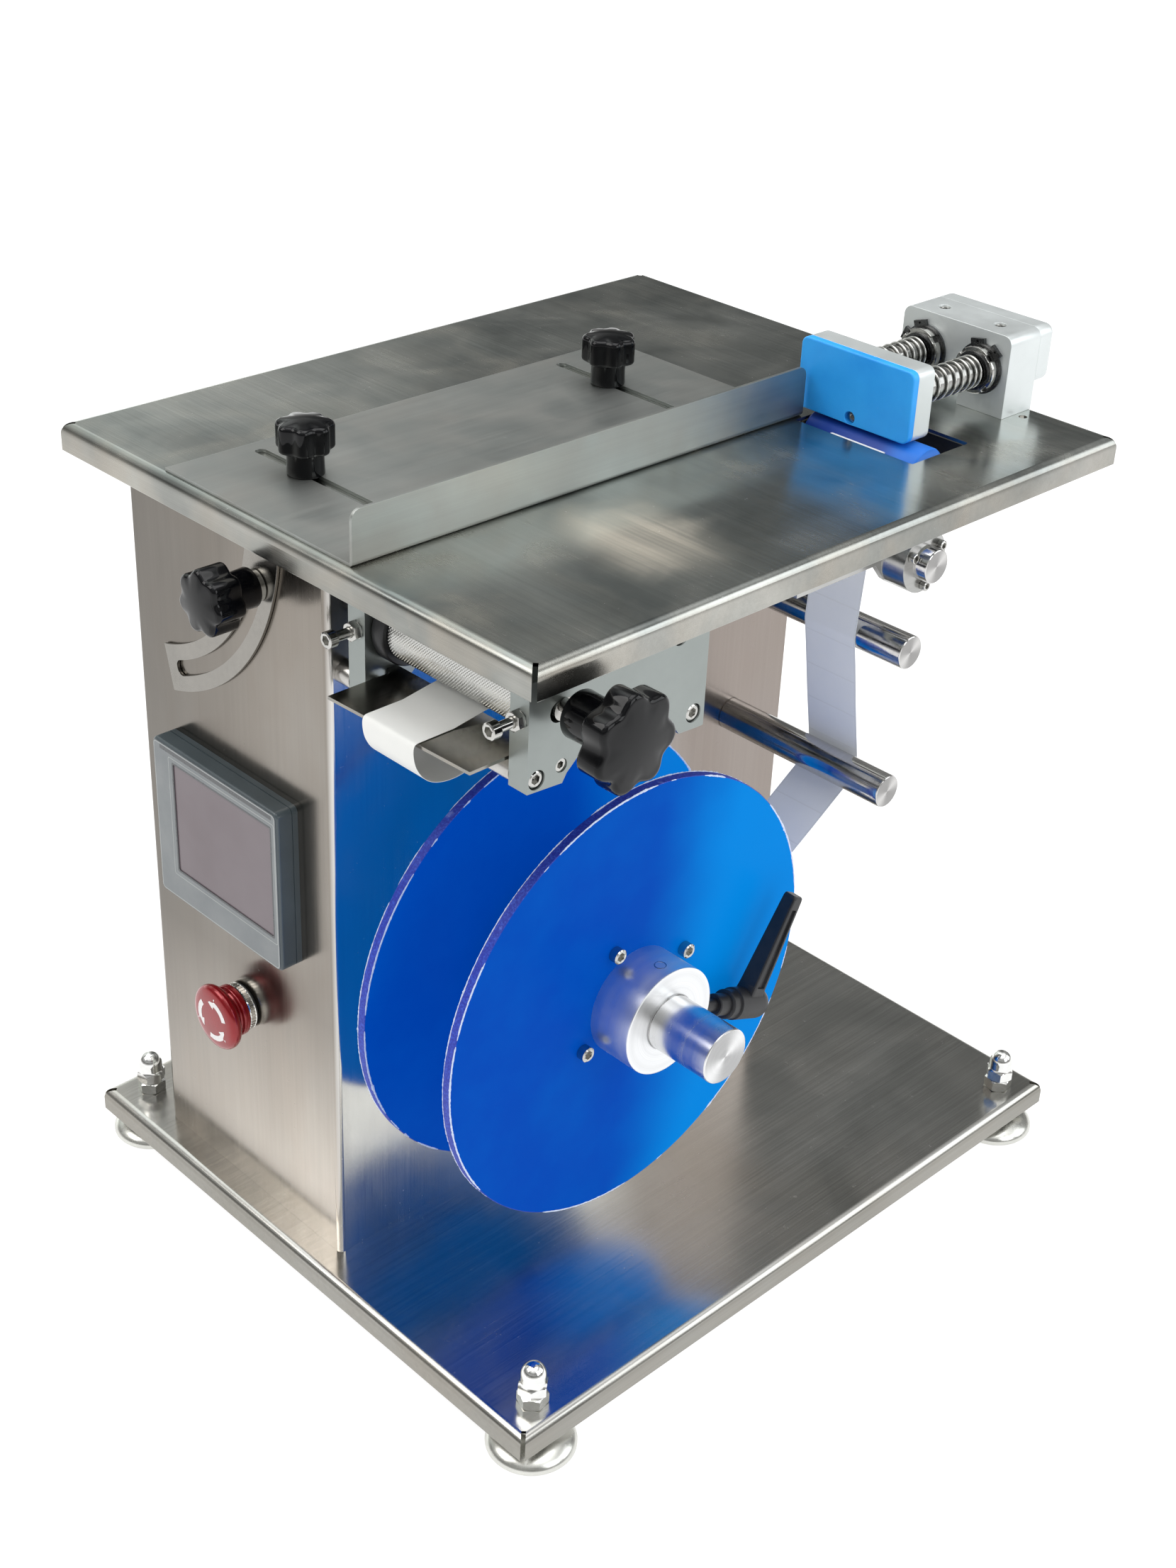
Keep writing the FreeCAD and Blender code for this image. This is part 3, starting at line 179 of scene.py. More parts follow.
# ------------------------------------------------------------------
# node helpers
# ------------------------------------------------------------------
class Mat:
    def __init__(self, name):
        self.m = bpy.data.materials.new(name)
        self.m.use_nodes = True
        self.t = self.m.node_tree
        self.b = self.t.nodes["Principled BSDF"]
        self.tc = None

    def node(self, kind, **kw):
        n = self.t.nodes.new(kind)
        for k, v in kw.items():
            if k[0].isupper() or " " in k:
                n.inputs[k].default_value = v
            else:
                setattr(n, k, v)
        return n

    def link(self, a, b):
        self.t.links.new(a, b)

    def coords(self, scale=(1, 1, 1), kind="Object", rot=(0, 0, 0), loc=(0, 0, 0)):
        if self.tc is None:
            self.tc = self.node("ShaderNodeTexCoord")
        m = self.node("ShaderNodeMapping")
        m.inputs["Scale"].default_value = scale
        m.inputs["Rotation"].default_value = rot
        m.inputs["Location"].default_value = loc
        self.link(self.tc.outputs[kind], m.inputs["Vector"])
        return m.outputs["Vector"]

    def noise(self, scale, detail=3.0, rough=0.5, vec=None, distort=0.0):
        n = self.node("ShaderNodeTexNoise")
        n.inputs["Scale"].default_value = scale
        n.inputs["Detail"].default_value = detail
        n.inputs["Roughness"].default_value = rough
        n.inputs["Distortion"].default_value = distort
        self.link(vec if vec is not None else self.coords(), n.inputs["Vector"])
        return n.outputs["Fac"]

    def ramp(self, fac, stops, interp="LINEAR"):
        r = self.node("ShaderNodeValToRGB")
        r.color_ramp.interpolation = interp
        el = r.color_ramp.elements
        while len(el) > 1:
            el.remove(el[-1])
        for k, (p, c) in enumerate(stops):
            c = tuple(c) + (1,) if not isinstance(c, (int, float)) else (c, c, c, 1)
            if k == 0:
                el[0].position, el[0].color = p, c
            else:
                e = el.new(p)
                e.color = c
        self.link(fac, r.inputs["Fac"])
        return r.outputs["Color"]

    def math(self, op, a, b=None, clamp=False):
        n = self.node("ShaderNodeMath", operation=op)
        n.use_clamp = clamp
        for k, v in enumerate((a, b)):
            if v is None:
                continue
            if isinstance(v, (int, float)):
                n.inputs[k].default_value = v
            else:
                self.link(v, n.inputs[k])
        return n.outputs[0]

    def mix(self, fac, a, b, blend="MIX"):
        n = self.node("ShaderNodeMix", data_type="RGBA", blend_type=blend)
        for key, v in (("Factor", fac), ("A", a), ("B", b)):
            sock = [s for s in n.inputs if s.name == key and s.enabled][0]
            if isinstance(v, (int, float)):
                sock.default_value = v if key == "Factor" else (v, v, v, 1)
            elif isinstance(v, (tuple, list)):
                sock.default_value = tuple(v) + (1,)
            else:
                self.link(v, sock)
        return [s for s in n.outputs if s.enabled][0]

    def mixv(self, fac, k):
        """object coordinates pushed about by a noise"""
        n = self.node("ShaderNodeVectorMath", operation="ADD")
        self.link(self.coords(), n.inputs[0])
        q = self.node("ShaderNodeCombineXYZ")
        self.link(self.rng(fac, -k, k, 0.2, 0.8), q.inputs[0])
        self.link(self.rng(fac, k, -k, 0.2, 0.8), q.inputs[1])
        self.link(q.outputs[0], n.inputs[1])
        return n.outputs[0]

    def rng(self, fac, lo, hi, a=0.0, b=1.0):
        n = self.node("ShaderNodeMapRange")
        n.inputs["From Min"].default_value = a
        n.inputs["From Max"].default_value = b
        n.inputs["To Min"].default_value = lo
        n.inputs["To Max"].default_value = hi
        self.link(fac, n.inputs["Value"])
        return n.outputs["Result"]

    def bump(self, height, strength, dist=0.0005, normal=None):
        n = self.node("ShaderNodeBump")
        n.inputs["Strength"].default_value = strength
        n.inputs["Distance"].default_value = dist
        self.link(height, n.inputs["Height"])
        if normal is not None:
            self.link(normal, n.inputs["Normal"])
        return n.outputs["Normal"]

    def set(self, **kw):
        names = {"base": "Base Color", "metal": "Metallic", "rough": "Roughness", "ior": "IOR",
                 "coat": "Coat Weight", "coat_rough": "Coat Roughness", "sheen": "Sheen Weight",
                 "trans": "Transmission Weight", "sss": "Subsurface Weight", "spec": "Specular IOR Level",
                 "aniso": "Anisotropic", "normal": "Normal", "emit": "Emission Color",
                 "emit_s": "Emission Strength", "alpha": "Alpha"}
        for k, v in kw.items():
            s = self.b.inputs[names[k]]
            if isinstance(v, (int, float)):
                s.default_value = v
            elif isinstance(v, (tuple, list)):
                s.default_value = tuple(v) + (1,) if len(v) == 3 else v
            else:
                self.link(v, s)
        return self


def steel(name, base, dark, along, rough=(0.14, 0.3), stain=7.0, line=0.05, smear=(1, 1, 1), bump=0.05,
          warm=None, light=None, painted_side_shade=None, face=2, metal=1.0, painted_side_gradient=(), rear=None, painted_reflection_patch=None):
    """brushed sheet: fine lines along one axis, cloudy handling stains. Painted shade: the sides that
    don't face along the axis number given as face take a painted shade colour, changed along an axis by
    a painted gradient of light and shade; rear paints shade on the sides that do face that way along an axis; a pale
    patch at a place is a painted reflection"""
    m = Mat(name)
    sc = [1400.0, 1400.0, 1400.0]
    sc[along] = 9.0
    lines = m.noise(1.0, 2.0, 0.6, m.coords(tuple(sc)))
    sc2 = [260.0, 260.0, 260.0]
    sc2[along] = 3.0
    lines2 = m.noise(1.0, 3.0, 0.6, m.coords(tuple(sc2)))
    cloud = m.noise(stain, 4.0, 0.5, m.coords(smear), 0.4)
    cloud2 = m.noise(stain * 2.9, 3.0, 0.45, m.coords(smear, loc=(3.1, 1.7, 0.4)), 0.6)
    spots = m.noise(stain * 30, 3.0, 0.7, m.coords(loc=(7.0, 2.0, 5.0)))
    c = m.mix(m.ramp(cloud, [(0.36, 0.0), (0.66, 1.0)]), dark, base)
    if warm:
        c = m.mix(m.ramp(cloud2, [(0.40, 0.0), (0.74, 0.6)]), c, warm)
    if light:
        c3 = m.noise(stain * 1.3, 3.0, 0.45, m.coords(smear, loc=(-4.0, 2.5, 1.0)), 0.3)
        c = m.mix(m.ramp(c3, [(0.45, 0.0), (0.78, 0.6)]), c, light)
    c = m.mix(m.rng(lines, 0.0, line * 2.2, 0.3, 0.8), c, (0.95, 0.95, 0.95), "OVERLAY")
    c = m.mix(m.rng(lines2, 0.0, line * 1.6, 0.35, 0.75), c, (0.1, 0.1, 0.1), "MULTIPLY")
    c = m.mix(m.ramp(spots, [(0.70, 0.0), (0.78, 0.12)]), c, (0.75, 0.74, 0.72))
    # painted shade: the sides get a shaded copy of the colour, changed by painted gradients of light and shade along
    # axes
    if painted_side_shade:
        nrm = m.node("ShaderNodeSeparateXYZ")
        m.link(m.tc.outputs["Normal"], nrm.inputs[0])
        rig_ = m.ramp(m.math("ABSOLUTE", nrm.outputs[face]), [(0.35, 1.0), (0.92, 0.0)])
        fc = m.mix(1.0, c, painted_side_shade, "MULTIPLY")
        pos = m.node("ShaderNodeSeparateXYZ")
        m.link(m.coords(), pos.inputs[0])
        for ax, a0, a1, k0, k1 in painted_side_gradient:
            fc = m.mix(1.0, fc, m.rng(pos.outputs[ax], k0, k1, a0, a1), "MULTIPLY")
        # painted shade on the faces along the face axis, deepening towards one end of an axis
        if rear:
            ax, a0, a1 = rear[0]
            c = m.mix(m.ramp(m.rng(pos.outputs[ax], 0.0, 1.0, a0, a1), [(0.0, 0.0), (1.0, 1.0)], "EASE"), c,
                      m.mix(1.0, c, rear[1], "MULTIPLY"))
        c = m.mix(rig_, c, fc)
    # painted reflection: a pale warm patch at a given place, made a little less metallic there
    if painted_reflection_patch:
        sb = m.node("ShaderNodeVectorMath", operation="SUBTRACT")
        m.link(m.mixv(cloud2, 0.012), sb.inputs[0])
        sb.inputs[1].default_value = painted_reflection_patch[0]
        dv = m.node("ShaderNodeVectorMath", operation="DIVIDE")
        m.link(sb.outputs[0], dv.inputs[0])
        dv.inputs[1].default_value = painted_reflection_patch[1]
        ln_ = m.node("ShaderNodeVectorMath", operation="LENGTH")
        m.link(dv.outputs[0], ln_.inputs[0])
        gm = m.ramp(ln_.outputs["Value"], [(0.25, 0.85), (1.0, 0.0)], "EASE")
        gm = m.math("MULTIPLY", gm, m.rng(lines2, 0.75, 1.1, 0.35, 0.65))
        c = m.mix(gm, c, painted_reflection_patch[2])
        metal = m.math("SUBTRACT", 1.0, m.math("MULTIPLY", gm, 0.22))
    r = m.math("ADD", m.rng(cloud2, rough[0], rough[1], 0.3, 0.75), m.rng(lines, -0.02, 0.03, 0.3, 0.7))
    r = m.math("ADD", r, m.ramp(spots, [(0.66, 0.0), (0.78, 0.10)]))
    m.set(base=c, metal=metal, rough=r, aniso=0.45,
          normal=m.bump(m.math("ADD", m.math("MULTIPLY", lines, 0.5), lines2), bump, 0.0002))
    # brushed lines spread the light across themselves
    geo = m.node("ShaderNodeNewGeometry")
    cr = m.node("ShaderNodeVectorMath", operation="CROSS_PRODUCT")
    m.link(geo.outputs["Normal"], cr.inputs[0])
    d3 = [0.0, 0.0, 0.0]
    d3[along] = 1.0
    d3[0 if along == 2 else 2] = 0.01
    cr.inputs[1].default_value = d3
    m.link(cr.outputs[0], m.b.inputs["Tangent"])
    return m.m


def simple(name, base, metal=0.0, rough=0.4, var=0.06, scale=40.0, bump=0.1, bscale=900.0, bdist=0.0001,
           rvar=0.05, **kw):
    """one colour with a soft cloudy change, a fine surface grain and a little wear"""
    m = Mat(name)
    cl = m.noise(scale, 4.0, 0.6)
    fine = m.noise(bscale, 2.0, 0.6)
    wear = m.noise(scale * 5.3, 4.0, 0.65, m.coords(loc=(1.3, 4.4, 2.2)))
    lo = tuple(max(0.0, v * (1 - var)) for v in base)
    hi = tuple(min(1.0, v * (1 + var) + 0.002) for v in base)
    c = m.mix(m.ramp(cl, [(0.3, 0.0), (0.7, 1.0)]), lo, hi)
    r = m.math("ADD", m.rng(cl, rough - rvar, rough + rvar, 0.3, 0.7), m.rng(wear, -0.02, 0.04, 0.4, 0.8))
    m.set(base=c, metal=metal, rough=r, normal=m.bump(fine, bump, bdist), **kw)
    return m


def turned(name, base, axis, centre, rough=0.2, rings=2600.0, bump=0.12, var=0.12, end=None):
    """turned metal: fine rings round an axis (in the y-z plane through centre) seen on the end faces; with end given,
    the end faces take a painted shade with a painted highlight fanning round the axis
    """
    m = Mat(name)
    v = m.coords(loc=(0, 0, 0))
    sub = m.node("ShaderNodeVectorMath", operation="SUBTRACT")
    m.link(v, sub.inputs[0])
    sub.inputs[1].default_value = centre
    mul = m.node("ShaderNodeVectorMath", operation="MULTIPLY")
    k = [1.0, 1.0, 1.0]
    k[axis] = 0.0
    mul.inputs[1].default_value = k
    m.link(sub.outputs[0], mul.inputs[0])
    ln = m.node("ShaderNodeVectorMath", operation="LENGTH")
    m.link(mul.outputs[0], ln.inputs[0])
    sep = m.node("ShaderNodeSeparateXYZ")
    m.link(sub.outputs[0], sep.inputs[0])
    comb = m.node("ShaderNodeCombineXYZ")
    m.link(m.math("MULTIPLY", ln.outputs["Value"], rings), comb.inputs[0])
    m.link(m.math("MULTIPLY", sep.outputs[axis], rings * 0.7), comb.inputs[1])
    ring = m.noise(1.0, 2.0, 0.55, comb.outputs[0])
    comb2 = m.node("ShaderNodeCombineXYZ")
    m.link(m.math("MULTIPLY", ln.outputs["Value"], rings * 0.16), comb2.inputs[0])
    m.link(m.math("MULTIPLY", sep.outputs[axis], rings * 0.05), comb2.inputs[1])
    ring2 = m.noise(1.0, 3.0, 0.55, comb2.outputs[0])
    cl = m.noise(60.0, 4.0, 0.6)
    c = m.mix(m.rng(ring, 0.0, 1.0, 0.3, 0.7), tuple(x * (1 - var) for x in base), base)
    c = m.mix(m.rng(ring2, 0.0, 0.35, 0.4, 0.8), c, tuple(x * 0.72 for x in base))
    # painted shade on the end faces, with a painted highlight fanning round the axis
    if end is not None:
        nrm = m.node("ShaderNodeSeparateXYZ")
        m.link(m.tc.outputs["Normal"], nrm.inputs[0])
        face = m.ramp(m.math("ABSOLUTE", nrm.outputs[axis]), [(0.85, 0.0), (0.97, 1.0)])
        fan = m.node("ShaderNodeVectorMath", operation="NORMALIZE")
        m.link(mul.outputs[0], fan.inputs[0])
        fd = m.node("ShaderNodeVectorMath", operation="DOT_PRODUCT")
        m.link(fan.outputs[0], fd.inputs[0])
        fd.inputs[1].default_value = (0.0, 0.82, 0.57)
        painted_highlight_fan = m.math("POWER", m.math("ABSOLUTE", fd.outputs["Value"]), 5.0)
        painted_end_tone = m.mix(painted_highlight_fan, (end, end, end), (min(1.0, end * 1.9),) * 3)
        c = m.mix(face, c, m.mix(1.0, c, painted_end_tone, "MULTIPLY"))
    r = m.math("ADD", m.rng(ring2, rough - 0.04, rough + 0.07, 0.3, 0.7), m.rng(cl, -0.03, 0.04, 0.35, 0.7))
    m.set(base=c, metal=1.0, rough=r, normal=m.bump(m.math("ADD", ring, m.math("MULTIPLY", ring2, 0.8)), bump, 0.00012))
    return m.m


def mm3(x, y, z):
    return tuple(P(x, y, z))


# stainless sheets
# painted light and shade: the sheets' sides take painted shade, the table and tower painted gradients along axes, the
# tower painted shade towards the rear of its side, the table a painted reflection patch near the press
TABLE = steel("table_steel", (0.52, 0.545, 0.52), (0.27, 0.295, 0.29), 0, (0.15, 0.30), 7.5, 0.06,
              warm=(0.48, 0.45, 0.39), light=(0.64, 0.665, 0.64), painted_side_shade=(0.55, 0.52, 0.50),
              painted_side_gradient=((1, -0.266, -0.258, 0.55, 1.5), (1, -0.25, 0.15, 1.0, 0.85)), painted_reflection_patch=(mm3(-72.0, 146.0, 0.0), (0.066, 0.050, 0.02), (0.98, 0.90, 0.76)))
FENCE = steel("fence_steel", (0.36, 0.375, 0.36), (0.30, 0.315, 0.305), 1, (0.44, 0.55), 8.0, 0.04,
              warm=(0.34, 0.325, 0.30), light=(0.43, 0.445, 0.43), painted_side_shade=(1.02, 1.03, 1.02))
QUAD = steel("quadrant_steel", (0.30, 0.285, 0.26), (0.25, 0.24, 0.22), 1, (0.18, 0.28), 12.0, 0.05)
TOWER = steel("tower_steel", (0.62, 0.61, 0.59), (0.49, 0.475, 0.455), 2, (0.15, 0.26), 8.0, 0.035,
              smear=(1, 1, 0.45), warm=(0.56, 0.52, 0.48), light=(0.66, 0.65, 0.63), painted_side_shade=(0.46, 0.43, 0.395), face=0,
              painted_side_gradient=((2, 0.08, 0.21, 2.1, 1.0), (2, 0.21, 0.50, 0.86, 0.76), (0, -0.16, -0.02, 0.72, 1.2)), rear=((1, -0.05, 0.09), (0.46, 0.41, 0.385)))
BASE = steel("base_steel", (0.58, 0.575, 0.55), (0.48, 0.47, 0.44), 1, (0.16, 0.27), 5.0, 0.06,
             warm=(0.54, 0.50, 0.45), light=(0.66, 0.67, 0.65), painted_side_shade=(0.55, 0.54, 0.51))
SHEET = steel("bright_sheet", (0.46, 0.46, 0.45), (0.36, 0.36, 0.35), 1, (0.16, 0.28), 12.0, 0.05)
PLATE = steel("guide_sheet", (0.34, 0.33, 0.30), (0.20, 0.20, 0.19), 1, (0.14, 0.26), 14.0, 0.06,
              warm=(0.36, 0.32, 0.26))
ALU = simple("blasted_aluminium", (0.68, 0.715, 0.715), 0.60, 0.42, 0.05, 22.0, 0.22, 2300.0, 0.0001).m
ALU_HEAD = simple("milled_aluminium", (0.28, 0.305, 0.295), 0.9, 0.36, 0.05, 30.0, 0.16, 2600.0, 0.0001).m
CHROME = simple("bright_screw_steel", (0.50, 0.495, 0.475), 1.0, 0.15, 0.05, 80.0, 0.05, 1500.0, 0.0001, 0.04).m
ZINC = simple("plated_screw_steel", (0.46, 0.45, 0.43), 1.0, 0.24, 0.12, 150.0, 0.1, 1800.0, 0.0001, 0.06).m
ACORN = simple("polished_nut_steel", (0.80, 0.80, 0.78), 1.0, 0.10, 0.06, 90.0, 0.05, 1500.0, 0.0001, 0.04).m
FOOT = simple("foot_steel", (0.66, 0.66, 0.62), 1.0, 0.26, 0.08, 60.0, 0.08, 1200.0, 0.0001, 0.05).m
BLACKSCREW = simple("black_screw_steel", (0.03, 0.03, 0.033), 0.6, 0.3, 0.2, 150.0, 0.1, 1800.0, 0.0001).m
PHENOL = simple("black_phenolic", (0.0016, 0.0018, 0.0026), 0.0, 0.09, 0.3, 60.0, 0.02, 700.0, 0.0001, 0.02,
                spec=0.26).m
MATTE = simple("black_matte_lever", (0.014, 0.014, 0.016), 0.1, 0.42, 0.25, 80.0, 0.35, 1600.0, 0.00015).m
TABBLK = simple("blackened_washer", (0.10, 0.102, 0.105), 1.0, 0.26, 0.25, 200.0, 0.2, 1800.0, 0.0001).m
RUBBER = simple("black_rubber", (0.02, 0.02, 0.021), 0.0, 0.62, 0.2, 90.0, 0.3, 1500.0, 0.0002).m
RED = simple("glossy_red", (0.26, 0.002, 0.006), 0.35, 0.16, 0.1, 60.0, 0.05, 800.0, 0.0001, 0.03,
             coat=0.35, coat_rough=0.08).m
WHITEPRINT = simple("white_print", (0.80, 0.78, 0.78), 0.0, 0.45, 0.05, 400.0, 0.1, 1500.0, 0.0001).m
SLATE = simple("slate_plastic", (0.052, 0.070, 0.080), 0.0, 0.36, 0.12, 30.0, 0.35, 1900.0, 0.00012,
               coat=0.15, coat_rough=0.2).m
SLATE_RIM = simple("slate_gasket", (0.028, 0.034, 0.036), 0.0, 0.55, 0.15, 60.0, 0.2, 1500.0, 0.0001).m
GREYRING = simple("grey_anodised_ring", (0.23, 0.23, 0.235), 0.6, 0.4, 0.1, 100.0, 0.15, 1500.0, 0.0001).m
ENAMEL = simple("dark_enamel", (0.035, 0.036, 0.04), 0.1, 0.4, 0.15, 80.0, 0.2, 1500.0, 0.0001).m
GREYBOX = simple("grey_enamel", (0.30, 0.31, 0.31), 0.1, 0.45, 0.1, 60.0, 0.2, 1500.0, 0.0001).m
PU = None
ROD = {}
for k_, (yy_, zz_) in enumerate(((344.0, -218.0), (350.0, -121.6), (365.7, -68.5))):
    ROD[k_] = turned("rod_steel_%d" % k_, (0.62, 0.61, 0.60), 0, mm3(0, yy_, zz_), 0.13, 2600.0, 0.07, end=0.50)
SHAFT = turned("reel_shaft_steel", (0.80, 0.80, 0.80), 0, mm3(0, 136.0, -288.2), 0.22, 2400.0, 0.08, end=0.55)
HUBALU = turned("turned_aluminium", (0.84, 0.85, 0.86), 0, mm3(0, 136.0, -288.2), 0.34, 2200.0, 0.12, 0.08, end=1.0)


def blue_pu():
    m = Mat("blue_polyurethane")
    cl = m.noise(26.0, 5.0, 0.6)
    fine = m.noise(1300.0, 2.0, 0.6)
    c = m.mix(m.ramp(cl, [(0.3, 0.0), (0.72, 1.0)]), (0.012, 0.31, 0.86), (0.026, 0.40, 0.96))
    dust = m.noise(420.0, 4.0, 0.7, m.coords(loc=(2.0, 0.3, 1.0)))
    c = m.mix(m.ramp(dust, [(0.62, 0.0), (0.78, 0.25)]), c, (0.25, 0.48, 0.85))
    m.set(base=c, rough=m.rng(cl, 0.38, 0.52, 0.3, 0.7), spec=0.45, sss=0.06, coat=0.12, coat_rough=0.35,
          normal=m.bump(fine, 0.18, 0.0001))
    m.b.inputs["Subsurface Radius"].default_value = (0.001, 0.002, 0.006)
    return m.m


PU = blue_pu()


def roller_pu():
    m = Mat("blue_roller_polyurethane")
    cl = m.noise(26.0, 5.0, 0.6)
    sep = m.node("ShaderNodeSeparateXYZ")
    m.link(m.coords(), sep.inputs[0])
    # painted shadow: dark where the press pad shades the roller, lighter towards its right end that stands clear of the
    # pad
    f = m.ramp(m.rng(sep.outputs[0], 0.0, 1.0, mm3(-80, 0, 0)[0], mm3(-62, 0, 0)[0]), [(0.0, 0.0), (1.0, 1.0)], "EASE")
    c = m.mix(f, (0.004, 0.035, 0.26), (0.012, 0.17, 0.66))
    c = m.mix(m.ramp(cl, [(0.3, 0.0), (0.72, 0.35)]), c, (0.02, 0.12, 0.50))
    m.set(base=c, rough=m.rng(cl, 0.38, 0.52, 0.3, 0.7), spec=0.3, coat=0.08, coat_rough=0.35,
          normal=m.bump(m.noise(1300.0, 2.0, 0.6), 0.18, 0.0001))
    return m.m


ROLLER_PU = roller_pu()


def acrylic(name, centre):
    """satin blue sheet: cloudy depth of colour, a painted sheen lighter towards one side, faint dust and a faint
    painted emission for light that comes through
    """
    m = Mat(name)
    cl = m.noise(5.5, 3.0, 0.5, m.coords(loc=(0.7, 0.1, 0.3)), 0.4)
    cl2 = m.noise(19.0, 4.0, 0.6, m.coords(loc=(2.7, 1.1, 0.3)))
    dust = m.noise(900.0, 3.0, 0.75)
    v = m.coords()
    sub = m.node("ShaderNodeVectorMath", operation="SUBTRACT")
    m.link(v, sub.inputs[0])
    sub.inputs[1].default_value = centre
    dot = m.node("ShaderNodeVectorMath", operation="DOT_PRODUCT")
    m.link(sub.outputs[0], dot.inputs[0])
    dot.inputs[1].default_value = (0.0, 0.98, -0.12)
    # painted sheen: lighter towards one side of the disc
    side = m.math("ADD", m.rng(dot.outputs["Value"], 0.0, 1.0, 0.0, 0.085), m.rng(cl, -0.2, 0.2, 0.3, 0.7))
    painted_sheen_ramp = m.ramp(side, [(0.0, 0.0), (1.0, 1.0)], "EASE")
    c = m.mix(painted_sheen_ramp, (0.0, 0.028, 0.205), (0.0, 0.125, 0.36))
    c = m.mix(m.rng(cl2, 0.0, 0.20, 0.4, 0.8), c, (0.0, 0.13, 0.40))
    c = m.mix(m.ramp(dust, [(0.74, 0.0), (0.80, 0.25)]), c, (0.10, 0.25, 0.55))
    # painted glow: all faces emit a little blue, more on the side of the painted sheen, and the faces towards the tower
    # emit most, standing in for light that comes through the sheet
    nx = m.node("ShaderNodeSeparateXYZ")
    m.link(m.tc.outputs["Normal"], nx.inputs[0])
    back = m.rng(nx.outputs[0], 1.0, 0.0, -0.8, -0.4)
    painted_through_light = m.mix(back, m.mix(painted_sheen_ramp, (0.0, 0.038, 0.25), (0.0, 0.105, 0.36)), (0.0, 0.125, 0.50))
    m.set(base=c, rough=m.rng(cl2, 0.30, 0.38, 0.3, 0.7), spec=0.012, emit=painted_through_light,
          emit_s=1.0, normal=m.bump(m.noise(1800.0, 2.0, 0.5), 0.10, 0.0001))
    return m.m


ACRYL_F = acrylic("blue_acrylic_front", mm3(0, 136, -288.2))
ACRYL_B = acrylic("blue_acrylic_back", mm3(0, 136, -288.2))


def acrylic_rim():
    m = Mat("blue_acrylic_sawn_edge")
    n1 = m.noise(700.0, 4.0, 0.7)
    n2 = m.noise(120.0, 3.0, 0.6)
    c = m.mix(m.ramp(n1, [(0.45, 0.0), (0.7, 1.0)]), (0.004, 0.020, 0.36), (0.03, 0.10, 0.62))
    c = m.mix(m.ramp(n2, [(0.66, 0.0), (0.76, 0.4)]), c, (0.35, 0.45, 0.85))
    m.set(base=c, rough=0.55, normal=m.bump(n1, 0.5, 0.0004))
    return m.m


RIM = acrylic_rim()


def burr():
    m = Mat("sawn_burr")
    n1 = m.noise(1500.0, 3.0, 0.7)
    m.set(base=m.mix(n1, (0.50, 0.60, 0.86), (0.90, 0.92, 0.96)), rough=0.7, sss=0.2,
          normal=m.bump(n1, 0.4, 0.0003))
    return m.m


BURR = burr()


def paper(name, base, back, liner=False):
    """coated paper: die cut label edges as faint lines across the web, faint handling marks. v runs along the web in metres"""
    m = Mat(name)
    tc = m.node("ShaderNodeTexCoord")
    sep = m.node("ShaderNodeSeparateXYZ")
    m.link(tc.outputs["UV"], sep.inputs[0])
    n1 = m.noise(18.0, 4.0, 0.6)
    n2 = m.noise(900.0, 2.0, 0.5)
    c = m.mix(m.ramp(n1, [(0.3, 0.0), (0.7, 1.0)]), back, base)
    h = n2
    if not liner:
        ph = m.math("FRACT", m.math("DIVIDE", sep.outputs["Y"], 0.0262))
        d = m.math("ABSOLUTE", m.math("SUBTRACT", ph, 0.5))
        line = m.rng(d, 0.0, 1.0, 0.478, 0.49)
        clampl = m.math("MINIMUM", m.math("MAXIMUM", line, 0.0), 1.0)
        du = m.math("ABSOLUTE", m.math("SUBTRACT", sep.outputs["X"], 0.5))
        edge = m.math("MINIMUM", m.math("MAXIMUM", m.rng(du, 0.0, 1.0, 0.466, 0.474), 0.0), 1.0)
        both = m.math("MAXIMUM", clampl, edge)
        c = m.mix(m.math("MULTIPLY", both, 0.35), c, tuple(x * 0.72 for x in base))
        h = m.math("SUBTRACT", m.math("MULTIPLY", n2, 0.3), both)
    # a faint painted glow: the paper emits a little pale light, more on the label web than on the liner
    m.set(base=c, rough=0.42, spec=0.4, sss=0.0, emit=(0.80, 0.84, 0.90), emit_s=0.02 if liner else 0.13, normal=m.bump(h, 0.25, 0.00012))
    if not liner:
        pass
    return m.m


PAPER = paper("label_paper", (0.80, 0.82, 0.86), (0.74, 0.77, 0.83))
LINER = paper("liner_paper", (0.82, 0.82, 0.79), (0.76, 0.77, 0.75), True)


def roll_side():
    m = Mat("label_roll_side")
    v = m.coords()
    sub = m.node("ShaderNodeVectorMath", operation="SUBTRACT")
    m.link(v, sub.inputs[0])
    sub.inputs[1].default_value = mm3(0, 136, -288.2)
    mul = m.node("ShaderNodeVectorMath", operation="MULTIPLY")
    mul.inputs[1].default_value = (0, 1, 1)
    m.link(sub.outputs[0], mul.inputs[0])
    ln = m.node("ShaderNodeVectorMath", operation="LENGTH")
    m.link(mul.outputs[0], ln.inputs[0])
    comb = m.node("ShaderNodeCombineXYZ")
    m.link(m.math("MULTIPLY", ln.outputs["Value"], 3500.0), comb.inputs[0])
    rings = m.noise(1.0, 2.0, 0.6, comb.outputs[0])
    c = m.mix(rings, (0.62, 0.62, 0.62), (0.86, 0.86, 0.85))
    m.set(base=c, rough=0.55, normal=m.bump(rings, 0.3, 0.0002))
    return m.m


ROLL = roll_side()


